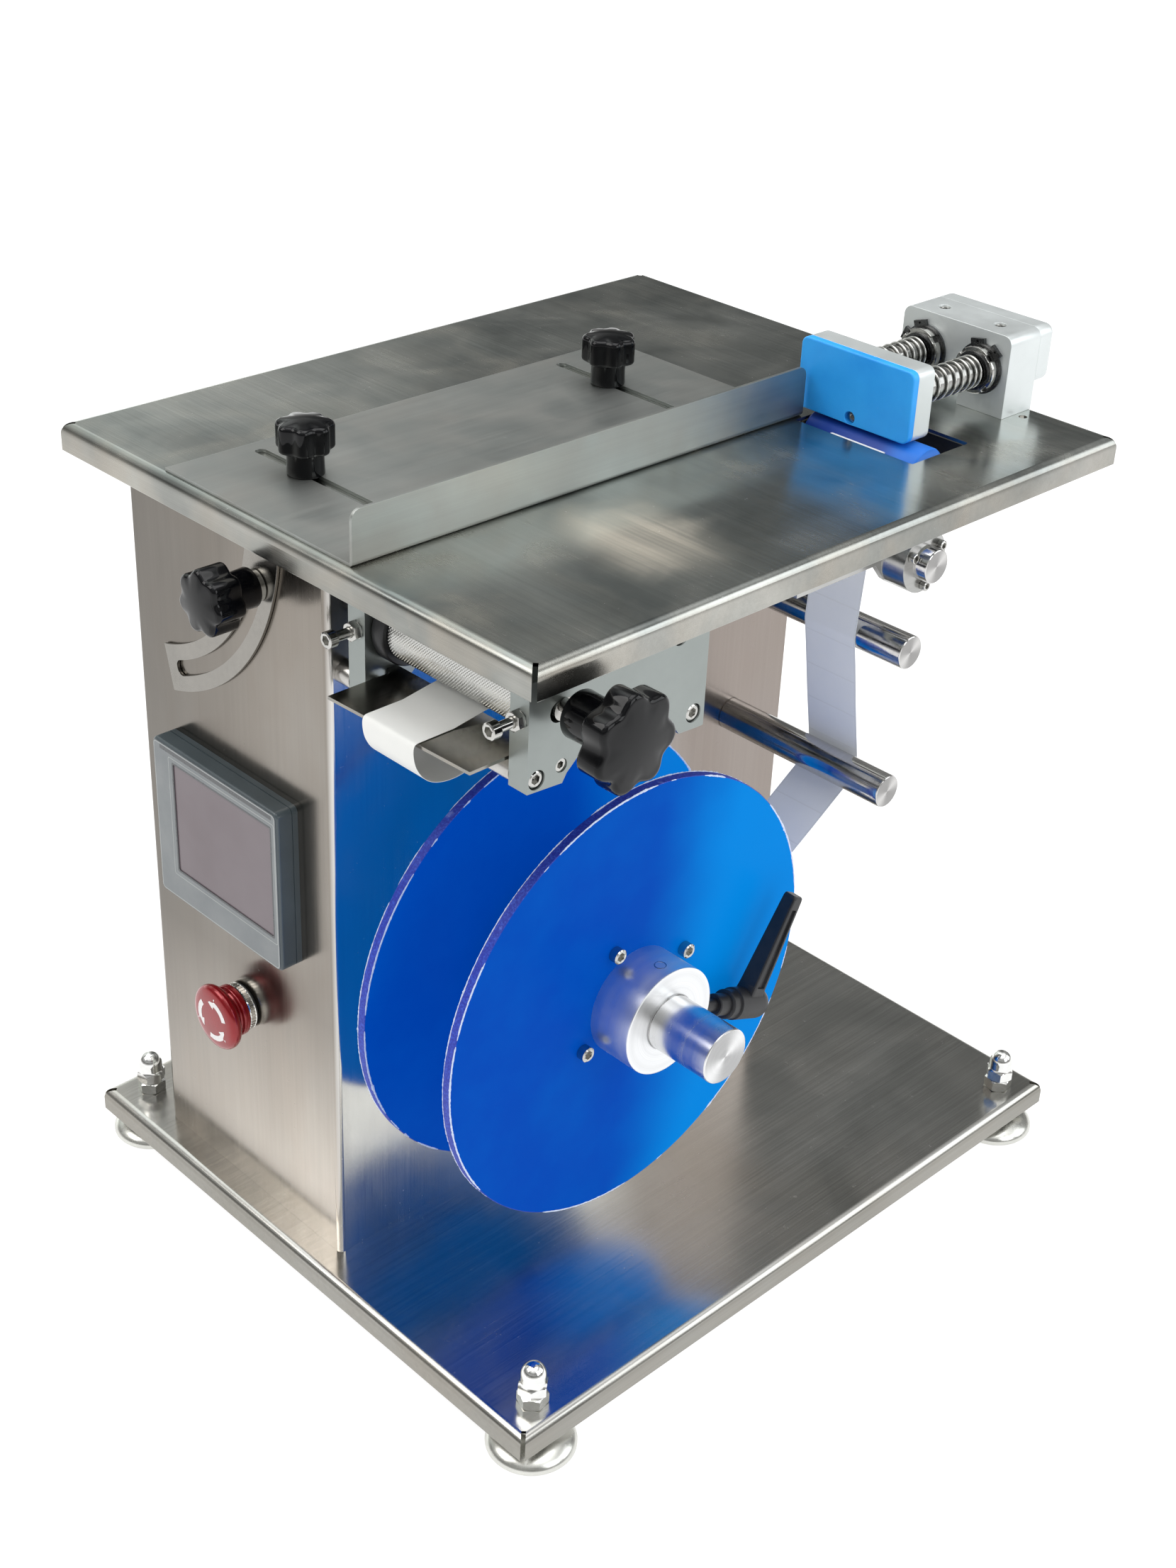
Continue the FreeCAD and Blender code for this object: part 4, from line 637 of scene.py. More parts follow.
def film():
    m = Mat("grey_film")
    n1 = m.noise(30.0, 4.0, 0.6)
    n2 = m.noise(1600.0, 2.0, 0.5)
    c = m.mix(m.ramp(n1, [(0.3, 0.0), (0.7, 1.0)]), (0.165, 0.182, 0.192), (0.220, 0.235, 0.242))
    m.set(base=c, rough=0.38, spec=0.35, normal=m.bump(n2, 0.25, 0.0001), coat=0.12, coat_rough=0.2)
    return m.m


FILM = film()
FILM_LIGHT = simple("film_light_line", (0.34, 0.36, 0.36), 0.0, 0.35, 0.06, 60.0, 0.1, 1500.0, 0.0001).m
FILM_DARK = simple("film_dark_line", (0.07, 0.075, 0.08), 0.0, 0.3, 0.06, 60.0, 0.1, 1500.0, 0.0001).m


def screen():
    m = Mat("screen_glass")
    n1 = m.noise(14.0, 3.0, 0.5)
    c = m.mix(m.ramp(n1, [(0.3, 0.0), (0.7, 1.0)]), (0.125, 0.095, 0.108), (0.165, 0.135, 0.150))
    m.set(base=c, rough=m.rng(n1, 0.16, 0.26, 0.3, 0.7), spec=0.35, coat=0.2, coat_rough=0.12,
          normal=m.bump(m.noise(900.0), 0.03, 0.0001))
    return m.m


SCREEN = screen()


# ------------------------------------------------------------------
# mesh helpers, all in table-frame millimetres
# ------------------------------------------------------------------
class G:
    def __init__(self):
        self.v, self.f, self.m, self.uv = [], [], [], {}

    def add(self, verts, faces, mi=0):
        o = len(self.v)
        self.v += [Vector(v) for v in verts]
        for f in faces:
            self.f.append(tuple(i + o for i in f))
            self.m.append(mi)
        return o


def basis(axis):
    a = Vector(axis).normalized()
    ref = Vector((0, 0, 1)) if abs(a.z) < 0.9 else Vector((1, 0, 0))
    u = (ref - a * ref.dot(a)).normalized()
    return a, u, a.cross(u)


def rings(g, base, axis, stations, n=64, mi=0, cap0=True, cap1=True, spin=0.0):
    """stations: (height, radius or function of angle). Builds a skin ring by ring; a radius of 0 closes to a point."""
    a, u, w = basis(axis)
    b = Vector(base)
    o = len(g.v)
    idx = []
    for (h, r) in stations:
        if not callable(r) and r <= 1e-9:
            idx.append([len(g.v)])
            g.v.append(b + a * h)
            continue
        row = []
        for k in range(n):
            t = 2 * math.pi * k / n
            rr = r(t) if callable(r) else r
            hh = h(t) if callable(h) else h
            row.append(len(g.v))
            g.v.append(b + a * hh + (u * math.cos(t + spin) + w * math.sin(t + spin)) * rr)
        idx.append(row)
    for s in range(len(idx) - 1):
        A, B = idx[s], idx[s + 1]
        if len(A) == 1 and len(B) == 1:
            continue
        for k in range(n):
            k2 = (k + 1) % n
            if len(A) == 1:
                g.f.append((A[0], B[k2], B[k]))
            elif len(B) == 1:
                g.f.append((A[k], A[k2], B[0]))
            else:
                g.f.append((A[k], A[k2], B[k2], B[k]))
            g.m.append(mi)
    if cap0 and len(idx[0]) > 1:
        g.f.append(tuple(reversed(idx[0])))
        g.m.append(mi)
    if cap1 and len(idx[-1]) > 1:
        g.f.append(tuple(idx[-1]))
        g.m.append(mi)
    return o


def lathe(g, prof, base, axis, n=72, mi=0):
    """closed half section (height, radius), turned all round"""
    pts = list(prof)
    rings(g, base, axis, pts + [pts[0]], n, mi, False, False)


def rod(g, x0, x1, r, base, axis, ch=0.5, n=64, mi=0, mi_end=None):
    """solid turned bar with a small chamfer at each end"""
    rings(g, base, axis, [(x0, 0.0), (x0, r - ch), (x0 + ch, r), (x1 - ch, r), (x1, r - ch), (x1, 0.0)], n, mi)


def hexr(af):
    return lambda t: (af / 2) / math.cos(((t + math.pi / 6) % (math.pi / 3)) - math.pi / 6)


def nut(g, af, h, base, axis, bore=0.0, spin=0.0, mi=0, ch=True, n=72, both=True):
    rc = af / 2 * 0.97
    hr = hexr(af)
    k = math.tan(math.radians(30))
    top = lambda t: h - max(0.0, hr(t) - rc) * k
    bot = (lambda t: max(0.0, hr(t) - rc) * k) if both else 0.0
    st = [(0.0, rc), (bot, hr), (top, hr), (h, rc)]
    if bore > 0:
        st = [(0.3, bore), (0.0, bore + 0.4)] + st + [(h, bore + 0.5), (h - 0.5, bore)]
        rings(g, base, axis, st + [st[0]], n, mi, False, False, math.radians(spin))
    else:
        rings(g, base, axis, [(0.0, 0.0)] + st + [(h, 0.0)], n, mi, False, False, math.radians(spin))


def capscrew(g, base, axis, d, length, mi=0, knurl=True, hr=None, hh=None, spin=0.3):
    """socket head screw; the seat is at base, the head rises along axis"""
    R = hr if hr else (0.8 * d if d > 3.5 else 0.95 * d)
    H = hh if hh else d
    c = 0.09 * d
    side = (lambda t: R - (0.10 if (int(t / (2 * math.pi) * 72) % 2) else 0.0)) if knurl else R
    s6 = hexr(0.86 * d)
    st = [(0.0, d * 0.4), (0.0, R - c), (c, side), (H - c, side), (H, R - c * 1.6), (H, 0.62 * d),
          (H - 0.04 * d, s6), (H * 0.42, s6), (H * 0.36, 0.0)]
    rings(g, base, axis, st, 72, mi, False, False, spin)
    a = Vector(axis).normalized()
    rings(g, Vector(base) - a * length, axis, [(0.0, 0.0), (0.0, d / 2 - 0.5), (0.5, d / 2 - 0.1),
                                               (length + 0.1, d / 2 - 0.1)], 32, mi, False, False)


def setscrew(g, base, axis, d, depth, mi=0):
    s6 = hexr(0.5 * d)
    rings(g, base, axis, [(-depth, 0.0), (-depth, d / 2), (-0.3, d / 2), (0.0, d / 2 - 0.3), (0.0, 0.36 * d),
                          (-0.1, s6), (-0.45 * d, s6), (-0.5 * d, 0.0)], 48, mi, False, False, 0.4)


def obj(g, name, mats, body, slot, replaces=(), smooth=35.0, bevel=None, flat=False):
    me = bpy.data.meshes.new(name)
    verts = [((v.x + OFF[0]) * MM, (v.y + OFF[1]) * MM, (v.z + OFF[2]) * MM) for v in g.v]
    me.from_pydata(verts, [], g.f)
    mats = mats if isinstance(mats, (list, tuple)) else [mats]
    for m in mats:
        me.materials.append(m)
    for p, mi in zip(me.polygons, g.m):
        p.material_index = mi
        p.use_smooth = True
    me.update()
    bm = bmesh.new()
    bm.from_mesh(me)
    bmesh.ops.remove_doubles(bm, verts=bm.verts, dist=2e-7)
    bmesh.ops.recalc_face_normals(bm, faces=bm.faces)
    bm.to_mesh(me)
    bm.free()
    me.set_sharp_from_angle(angle=math.radians(smooth))
    flats(me, math.radians(smooth))
    o = bpy.data.objects.new(name, me)
    bpy.context.scene.collection.objects.link(o)
    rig.ride(o, body)
    if replaces:
        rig.replaces(o, *([replaces] if isinstance(replaces, str) else replaces))
    if slot:
        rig.slot(o, slot)
    return o


def add_bevel(o, w, seg=2, ang=32):
    m = o.modifiers.new("edge", "BEVEL")
    m.width = w * MM
    m.segments = seg
    m.limit_method = "ANGLE"
    m.angle_limit = math.radians(ang)
    m.use_clamp_overlap = True
    m.miter_outer = "MITER_ARC"


def flats(me, limit, k=4.0):
    """plane areas that are large beside their bends are shaded flat, so that no bend tints them"""
    bm = bmesh.new()
    bm.from_mesh(me)
    bm.faces.ensure_lookup_table()
    gid = [-1] * len(bm.faces)
    areas = []
    cosl = math.cos(math.radians(0.35))
    for f in bm.faces:
        if gid[f.index] >= 0:
            continue
        gi = len(areas)
        n0 = f.normal
        total = 0.0
        gid[f.index] = gi
        stack = [f]
        while stack:
            c = stack.pop()
            total += c.calc_area()
            for e in c.edges:
                for q in e.link_faces:
                    if gid[q.index] < 0 and q.normal.dot(n0) > cosl:
                        gid[q.index] = gi
                        stack.append(q)
        areas.append(total)
    near = [0.0] * len(areas)
    for e in bm.edges:
        if len(e.link_faces) == 2:
            a, b_ = gid[e.link_faces[0].index], gid[e.link_faces[1].index]
            if a != b_ and e.calc_face_angle(0.0) < limit:
                near[a] = max(near[a], areas[b_])
                near[b_] = max(near[b_], areas[a])
    smooth = [not areas[q] > k * near[q] for q in gid]
    bm.free()
    me.polygons.foreach_set("use_smooth", smooth)


def refine(node, mat, slot, w=0.3, seg=2, ang=32, body=None):
    """the node's own shape with worked edges: its facets are joined, then its edges rounded"""
    src = NODES[node]
    bm = bmesh.new()
    bm.from_mesh(src.data)
    bmesh.ops.remove_doubles(bm, verts=bm.verts, dist=2e-6)
    bmesh.ops.dissolve_limit(bm, angle_limit=math.radians(0.5), verts=bm.verts, edges=bm.edges)
    bm.verts.index_update()
    me = bpy.data.meshes.new(node + "_worked")
    me.from_pydata([v.co[:] for v in bm.verts], [], [[v.index for v in f.verts] for f in bm.faces])
    bm.free()
    me.materials.append(mat)
    for p in me.polygons:
        p.use_smooth = True
    me.update()
    me.set_sharp_from_angle(angle=math.radians(ang))
    o = bpy.data.objects.new(node + "_worked", me)
    bpy.context.scene.collection.objects.link(o)
    if w:
        add_bevel(o, w, seg, ang)
        dg = bpy.context.evaluated_depsgraph_get()
        me2 = bpy.data.meshes.new_from_object(o.evaluated_get(dg))
        o.modifiers.clear()
        o.data = me2
        for p in me2.polygons:
            p.use_smooth = True
        me = me2
    if me.attributes.get("custom_normal"):
        me.attributes.remove(me.attributes["custom_normal"])
    me.set_sharp_from_angle(angle=math.radians(ang))
    flats(me, math.radians(ang))
    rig.ride(o, src["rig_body"])
    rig.replaces(o, node)
    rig.slot(o, slot)
    return o


def keep(node, mat):
    o = NODES[node]
    o.data.materials.clear()
    o.data.materials.append(mat)


def body_of(node):
    return NODES[node]["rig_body"]


def tray_mesh(g, xr, yr, ztop, depth, r, t, holes=(), gap=1.98, seg=12):
    """folded sheet: a flat with holes, four bends and skirts, mitred open at the corners"""
    ri = r - t
    prof_o = [(0.0, 0.0)]
    for k in range(1, seg + 1):
        a = math.radians(90 - 90 * k / seg)
        prof_o.append((r * math.cos(a), -r + r * math.sin(a)))
    e = 0.45
    prof_o += [(r, -depth + e), (r - 0.13, -depth + 0.13), (r - e, -depth)]
    prof_i = [(r - t + e, -depth), (r - t + 0.13, -depth + 0.13), (r - t, -depth + e)]
    for k in range(seg, -1, -1):
        a = math.radians(90 - 90 * k / seg)
        prof_i.append((ri * math.cos(a), -r + ri * math.sin(a)))
    prof = prof_o + prof_i
    n = len(prof)
    sides = [((xr[1], yr[0]), (xr[1], yr[1]), (1, 0)), ((xr[1], yr[1]), (xr[0], yr[1]), (0, 1)),
             ((xr[0], yr[1]), (xr[0], yr[0]), (-1, 0)), ((xr[0], yr[0]), (xr[1], yr[0]), (0, -1))]
    for (p, q, nrm) in sides:
        L = math.hypot(q[0] - p[0], q[1] - p[1])
        d = ((q[0] - p[0]) / L, (q[1] - p[1]) / L)
        cuts = [0.0, 1.0]
        rows = []
        for c in (0, 1):
            row = []
            for (u, z) in prof:
                end = u - gap
                s = -end if c == 0 else L + end
                row.append((p[0] + d[0] * s + nrm[0] * u, p[1] + d[1] * s + nrm[1] * u, ztop + z))
            rows.append(row)
        vs = rows[0] + rows[1]
        fs = [(k, k + 1, n + k + 1, n + k) for k in range(n - 1)]
        fs += [tuple(range(n)), tuple(reversed(range(n, 2 * n)))]
        g.add(vs, fs)
    # flat
    c = gap
    outer = [(xr[0] + c, yr[0]), (xr[1] - c, yr[0]), (xr[1], yr[0] + c), (xr[1], yr[1] - c),
             (xr[1] - c, yr[1]), (xr[0] + c, yr[1]), (xr[0], yr[1] - c), (xr[0], yr[0] + c)]
    flat_with_holes(g, outer, holes, ztop, ztop - t)


def inside(p, loop):
    c = False
    for k in range(len(loop)):
        a, b_ = loop[k], loop[k - 1]
        if (a[1] > p[1]) != (b_[1] > p[1]) and p[0] < (b_[0] - a[0]) * (p[1] - a[1]) / (b_[1] - a[1]) + a[0]:
            c = not c
    return c


def open_faces(vs, fs, holes):
    """the faces that are in none of the holes"""
    out = []
    for f in fs:
        m = (sum(vs[i][0] for i in f) / len(f), sum(vs[i][1] for i in f) / len(f))
        if not any(inside(m, h) for h in holes):
            out.append(tuple(f))
    return out


def flat_with_holes(g, outer, holes, z1, z0, side=False, plane="xy", mi=0):
    pts, edges = [], []
    loops = []
    for lp in [outer] + list(holes):
        o = len(pts)
        pts += [Vector(p) for p in lp]
        edges += [(o + k, o + (k + 1) % len(lp)) for k in range(len(lp))]
        loops.append((o, len(lp)))
    res = delaunay_2d_cdt(pts, edges, [], 4, 1e-5, True)
    vs, fs = res[0], open_faces(res[0], res[2], holes)

    def to3(p, z):
        if plane == "xy":
            return (p[0], p[1], z)
        if plane == "yz":
            return (z, p[0], p[1])
        return (p[0], z, p[1])
    g.add([to3(p, z1) for p in vs], [tuple(f) for f in fs], mi)
    g.add([to3(p, z0) for p in vs], [tuple(reversed(f)) for f in fs], mi)
    for j, (o, n) in enumerate(loops):
        if j == 0 and not side:
            continue
        lp = [pts[o + k] for k in range(n)]
        vs2 = [to3(p, z1) for p in lp] + [to3(p, z0) for p in lp]
        g.add(vs2, [(k, (k + 1) % n, n + (k + 1) % n, n + k) for k in range(n)], mi)


def circle(x, y, r, n=32):
    return [(x + r * math.cos(2 * math.pi * k / n), y + r * math.sin(2 * math.pi * k / n)) for k in range(n)]


def rrect(x0, x1, y0, y1, r, n=6):
    out = []
    for cx_, cy_, a in ((x1 - r, y1 - r, 0), (x0 + r, y1 - r, 90), (x0 + r, y0 + r, 180), (x1 - r, y0 + r, 270)):
        for k in range(n + 1):
            t = math.radians(a + 90 * k / n)
            out.append((cx_ + r * math.cos(t), cy_ + r * math.sin(t)))
    return out


def pillow_box(g, x0, x1, y0, y1, z0, z1, r, e, plane_axis=1, n=6, mi=0):
    """plate with rounded corners (radius r) and softly rolled edges (radius e), thin along y"""
    st = []
    m_ = 4
    for k in range(m_ + 1):
        a = math.radians(90 * k / m_)
        st.append((y0 + e * (1 - math.sin(a)), e * (1 - math.cos(a))))
    st = [(y, off) for y, off in reversed([(y0 + e * (1 - math.sin(math.radians(90 * k / m_))),
                                            e * (1 - math.cos(math.radians(90 * k / m_)))) for k in range(m_ + 1)])]
    lo = [(y0 + e * (1 - math.cos(math.radians(90 * k / m_))), e * (1 - math.sin(math.radians(90 * k / m_)))) for k in range(m_ + 1)]
    hi = [(y1 - (y - y0), off) for y, off in reversed(lo)]
    rows = []
    for (y, off) in lo + hi:
        loop = rrect(x0 + off, x1 - off, z0 + off, z1 - off, max(0.2, r - off), n)
        rows.append([(p[0], y, p[1]) for p in loop])
    N = len(rows[0])
    vs = [p for row in rows for p in row]
    fs = []
    for s in range(len(rows) - 1):
        for k in range(N):
            k2 = (k + 1) % N
            fs.append((s * N + k, s * N + k2, (s + 1) * N + k2, (s + 1) * N + k))
    return g, vs, fs, N, len(rows)


# ------------------------------------------------------------------
# base, feet
# ------------------------------------------------------------------
FOOT_X, FOOT_Y = (-391.5, 2.8), (13.5, 469.6)
BZ, FLOOR = -494.5, -528.5
g = G()
tray_mesh(g, (-406.5, 17.8), (-7.5, 490.6), BZ, 16.0, 6.2, 2.0,
          [circle(x, y, 5.4, 24) for x in FOOT_X for y in FOOT_Y])
obj(g, "base_tray", BASE, body_of("base_plate"), "stainless", "base_plate", flat=True)

g = G()
for x in FOOT_X:
    for y in FOOT_Y:
        pr = [(0.0, 0.0), (0.0, 26.3), (0.5, 27.4), (1.5, 28.0), (3.0, 28.0), (4.4, 27.5), (6.0, 26.2),
              (7.6, 24.0), (9.0, 20.8), (10.4, 17.0), (11.8, 13.4), (13.2, 10.6), (15.0, 9.0), (18.0, 8.5), (18.0, 4.9)]
        ph = rng.random() * 6
        rings(g, (x, y, FLOOR), (0, 0, 1), pr, 96)
        # threaded stud
        z = FLOOR + 17.5
        st = [(17.5, 4.2)]
        k = 0
        zz = 18.0
        while zz < 53.5:
            st += [(zz, 4.25), (zz + 0.6, 4.9)]
            zz += 1.2
        st += [(54.0, 4.2), (54.0, 0.0)]
        rings(g, (x, y, FLOOR), (0, 0, 1), st, 32)
obj(g, "levelling_feet", FOOT, body_of("foot_pads"), "stainless_polished", "foot_pads")
g = G()
for x in FOOT_X:
    for y in FOOT_Y:
        nut(g, 17, 8, (x, y, BZ - 10.0), (0, 0, 1), 4.95, 12)
        nut(g, 17, 8, (x, y, BZ), (0, 0, 1), 4.95, 12)
        # acorn: chamfered hexagon below a domed cap
        hr = hexr(17)
        rc = 8.3
        kk = math.tan(math.radians(30))
        b0 = BZ + 8.4
        st = [(0.0, 4.95), (0.0, rc), (lambda t: max(0.0, hr(t) - rc) * kk, hr),
              (lambda t: 8.0 - max(0.0, hr(t) - 8.1) * 0.75, hr), (8.6, 8.1), (9.2, 7.95), (13.6, 8.0)]
        for j in range(1, 10):
            a = math.radians(10 * j)
            st.append((13.6 + 8.0 * math.sin(a), 8.0 * math.cos(a)))
        st[-1] = (21.6, 0.0)
        rings(g, (x, y, b0), (0, 0, 1), st, 72, 0, False, False, math.radians(40))
obj(g, "foot_nuts_acorn", ACORN, body_of("foot_nuts"), "stainless_polished", "foot_nuts", smooth=38)

# ------------------------------------------------------------------
# tower and hinge
# ------------------------------------------------------------------
refine("tower_shell", TOWER, "stainless", 0.25, 2, 30)
keep("tower_rear_cover", TOWER)
refine("tower_edge_seal", RUBBER, "black_rubber", 0.5, 3, 30)
refine("hinge_fixed_leaf", ZINC, "stainless", 0.15, 2, 30)
refine("hinge_moving_leaf", ZINC, "stainless", 0.15, 2, 30)
refine("quadrant_plate", QUAD, "stainless", 0.2, 2, 30)

HX, HZ = -354.7, -4.3
SX = HX + 131.2 * math.cos(math.radians(-17.5))
SZ = HZ + 131.2 * math.sin(math.radians(-17.5))
g = G()
st = [(-13.0, 0.0), (-13.0, 3.3)]
yy = -12.6
while yy < 0.0:
    st += [(yy, 3.4), (yy + 0.55, 3.9)]
    yy += 1.1
st += [(0.35, 3.9), (0.35, 8.9), (0.8, 9.5), (3.9, 9.5), (4.3, 9.0), (4.3, 3.9), (30.0, 3.9), (30.0, 0.0)]
rings(g, (SX, 0, SZ), (0, 1, 0), st, 64)
nut(g, 13, 6.5, (SX, 8.9, SZ), (0, 1, 0), 3.9)
obj(g, "tilt_stud_washer", CHROME, body_of("tilt_stud"), "stainless_polished", "tilt_stud")


# ------------------------------------------------------------------
# star knobs
# ------------------------------------------------------------------
def star_fun(R, lobes, dip, sharp=1.0):
    def f(t):
        c = math.cos(lobes * t)
        # broad lobes, narrower valleys
        v = (1 - c) / 2
        return R - dip * (v ** (1.15 * sharp))
    return f


def knob(name, base, axis, cr, ch, R, H, lobes, dip, spin, node, crown=1.8, boss=True, bore=3.0, bore_h=12.0,
         flare=0.0):
    g = G()
    sf = star_fun(R, lobes, dip)
    n = lobes * 24
    e = min(3.2, H * 0.2)
    st = [(bore_h, 0.0), (bore_h, bore), (0.0, bore), (0.0, cr - 0.9), (0.25, cr - 0.3), (0.9, cr)]
    st += [(ch * 0.35, cr - 0.25), (ch * 0.7, cr - 0.35), (ch - 0.9, cr - 0.1)]
    low = 1.6
    st += [(ch - 0.2, lambda t: cr + (sf(t) - cr) * 0.25), (ch + 0.25, lambda t: cr + (sf(t) - cr) * 0.62),
           (ch + 0.7, lambda t: sf(t) - low * 0.75), (ch + 1.5, lambda t: sf(t) - low * 0.22), (ch + 2.6, lambda t: sf(t))]
    st += [(ch + H * 0.6, lambda t: sf(t) + 0.0)]
    for j in range(0, 7):
        a = math.radians(15 * j)
        inset = e * (1 - math.cos(a))
        st.append((ch + H - e + e * math.sin(a), (lambda t, i=inset: sf(t) - i)))
    top = ch + H
    # lightly crowned top
    st += [(top + 0.02, lambda t: sf(t) * 0.86 - 0.3), (top + crown * 0.22, lambda t: min(sf(t) * 0.76, R * 0.72)),
           (top + crown * 0.52, R * 0.56), (top + crown * 0.78, R * 0.38), (top + crown * 0.95, R * 0.2), (top + crown, R * 0.06),
           (top + crown, 0.0)]
    rings(g, base, axis, st, n, 0, False, False, math.radians(spin))
    return obj(g, name, PHENOL, body_of(node), "black_phenolic", node, smooth=50)


knob("fence_star_knob_front", (-251.0, 56.5, 2.1), (0, 0, 1), 11.0, 13.9, 17.0, 17.0, 7, 2.6, 10, "fence_knob_front")
knob("fence_star_knob_rear", (-251.0, 293.5, 2.1), (0, 0, 1), 11.0, 13.9, 17.0, 17.0, 7, 2.6, 22, "fence_knob_rear")
knob("tilt_star_knob", (SX, 0.0, SZ), (0, -1, 0), 11.8, 15.0, 19.5, 20.0, 7, 2.9, 5, "tilt_knob", crown=1.8,
     bore=3.95, bore_h=13.5)
knob("head_star_knob", (-5.0, 35.5, -41.0), (1, 0, 0), 13.5, 25.0, 28.0, 17.0, 7, 4.4, 6, "head_knob", crown=1.9,
     bore=4.45, bore_h=18.0)

# ------------------------------------------------------------------
# table and fence
# ------------------------------------------------------------------
g = G()
tray_mesh(g, (-400.0, 0.0), (0.0, 472.6), 0.0, 17.0, 6.2, 2.0,
          [rrect(-137.6, -46.4, 343.3, 397.0, 1.2, 3), circle(-52.5, 460, 2.75, 24)])
for yy in (56.5, 293.5):
    st = [(-3.2, 0.0), (-3.2, 5.6), (-2.8, 6.0), (-1.9, 6.0), (-1.9, 2.9)]
    rings(g, (-251.0, yy, 0), (0, 0, 1), st, 32, 0, False, False)
    st = [(-1.9, 2.9), (0.0, 2.9)]
    z = 0.0
    while z < 11.4:
        st += [(z, 2.5), (z + 0.5, 2.9)]
        z += 1.0
    st += [(12.0, 2.4), (12.0, 0.0)]
    rings(g, (-251.0, yy, 0), (0, 0, 1), st, 32, 0, False, False)
obj(g, "table_tray", TABLE, body_of("table_top"), "stainless", "table_top", flat=True)
refine("fence", FENCE, "stainless", 0.3, 2, 30)

# ------------------------------------------------------------------
# press unit
# ------------------------------------------------------------------
SHX, SHZ = (-121.5, -78.5), 27.7


def rolled_plate(name, x0, x1, y0, y1, z0, z1, r, e0, e1, holes0, mat, body, slot, node, wall=None):
    """plate in the x-z plane, thin along y, edges rolled e0 on the y0 side and e1 on the y1 side. holes0: (x, z, r, depth) in the y0 face"""
    g = G()
    rows = []
    m_ = 4
    for k in range(m_ + 1):
        a = math.radians(90 * k / m_)
        rows.append((y0 + e0 * (1 - math.sin(a)), e0 * (1 - math.cos(a))))
    rows = [(y0 + e0 * (1 - math.cos(math.radians(90 * k / m_))), e0 * (1 - math.sin(math.radians(90 * k / m_))))
            for k in range(m_ + 1)]
    rows += [(y1 - e1 * (1 - math.cos(math.radians(90 - 90 * k / m_))), e1 * (1 - math.sin(math.radians(90 - 90 * k / m_))))
             for k in range(m_ + 1)]
    loops = [rrect(x0 + off, x1 - off, z0 + off, z1 - off, max(0.3, r - off), 6) for (_, off) in rows]
    N = len(loops[0])
    vs = [(p[0], rows[s][0], p[1]) for s in range(len(rows)) for p in loops[s]]
    fs = []
    for s in range(len(rows) - 1):
        for k in range(N):
            k2 = (k + 1) % N
            fs.append((s * N + k, s * N + k2, (s + 1) * N + k2, (s + 1) * N + k))
    g.add(vs, fs)
    for (loop, y, hs, flip) in ((loops[0], rows[0][0], holes0, False), (loops[-1], rows[-1][0], (), True)):
        pts = [Vector(p) for p in loop]
        edges = [(k, (k + 1) % N) for k in range(N)]
        for (hx, hz, hr_, dp) in hs:
            o = len(pts)
            c = circle(hx, hz, hr_ + 0.35, 28)
            pts += [Vector(p) for p in c]
            edges += [(o + k, o + (k + 1) % 28) for k in range(28)]
        res = delaunay_2d_cdt(pts, edges, [], 4, 1e-6, True)
        g.add([(p[0], y, p[1]) for p in res[0]], open_faces(res[0], res[2], [circle(h[0], h[1], h[2] + 0.35, 28) for h in hs]))
        for (hx, hz, hr_, dp) in hs:
            st = [(0.0, hr_ + 0.35), (0.35, hr_), (dp, hr_), (dp, 0.0)]
            c0 = []
            for (h, rr) in st[:-1]:
                c0.append([(p[0], y + h, p[1]) for p in circle(hx, hz, rr, 28)])
            vs2 = [p for row in c0 for p in row]
            fs2 = []
            for s in range(len(c0) - 1):
                for k in range(28):
                    k2 = (k + 1) % 28
                    fs2.append((s * 28 + k, s * 28 + k2, (s + 1) * 28 + k2, (s + 1) * 28 + k))
            fs2.append(tuple(range((len(c0) - 1) * 28, len(c0) * 28)))
            g.add(vs2, fs2)
    return obj(g, name, mat, body, slot, node, smooth=40, flat=True)


rolled_plate("press_pad_face", -147.0, -60.0, 354.0, 359.0, 4.2, 49.0, 5.0, 1.1, 0.2, [(-104.7, 8.6, 3.8, 4.7)],
             PU, body_of("press_pad"), "blue_polyurethane", "press_pad")
rolled_plate("press_block_body", -147.0, -60.0, 359.0, 374.0, 4.2, 49.0, 5.0, 0.15, 0.8, [],
             ALU, body_of("press_block"), "aluminium", "press_block")
refine("press_housing", ALU, "aluminium", 0.7, 3, 34)
refine("press_rear_cap", ALU, "aluminium", 0.25, 2, 34)
refine("press_lock_washers", TABBLK, "black_matte", 0.12, 2, 34)
refine("press_lock_nuts", CHROME, "stainless_polished", 0.4, 2, 34)
g = G()
for x in SHX:
    rings(g, (x, 0, SHZ), (0, 1, 0), [(365, 0), (365, 8.7), (469.5, 8.7), (470, 8.2), (470, 0)], 72)
g2 = G()
capscrew(g, (-104.7, 358.8, 8.6), (0, -1, 0), 3, 9.0, 0, False, hr=3.3, hh=2.0)
SHAFTSTEEL = simple("guide_shaft_steel", (0.36, 0.36, 0.35), 1.0, 0.16, 0.05, 60.0, 0.03, 1500.0, 0.0001, 0.03).m
obj(g, "press_guide_shafts", SHAFTSTEEL, body_of("press_shafts"), "stainless_polished", "press_shafts", smooth=40)

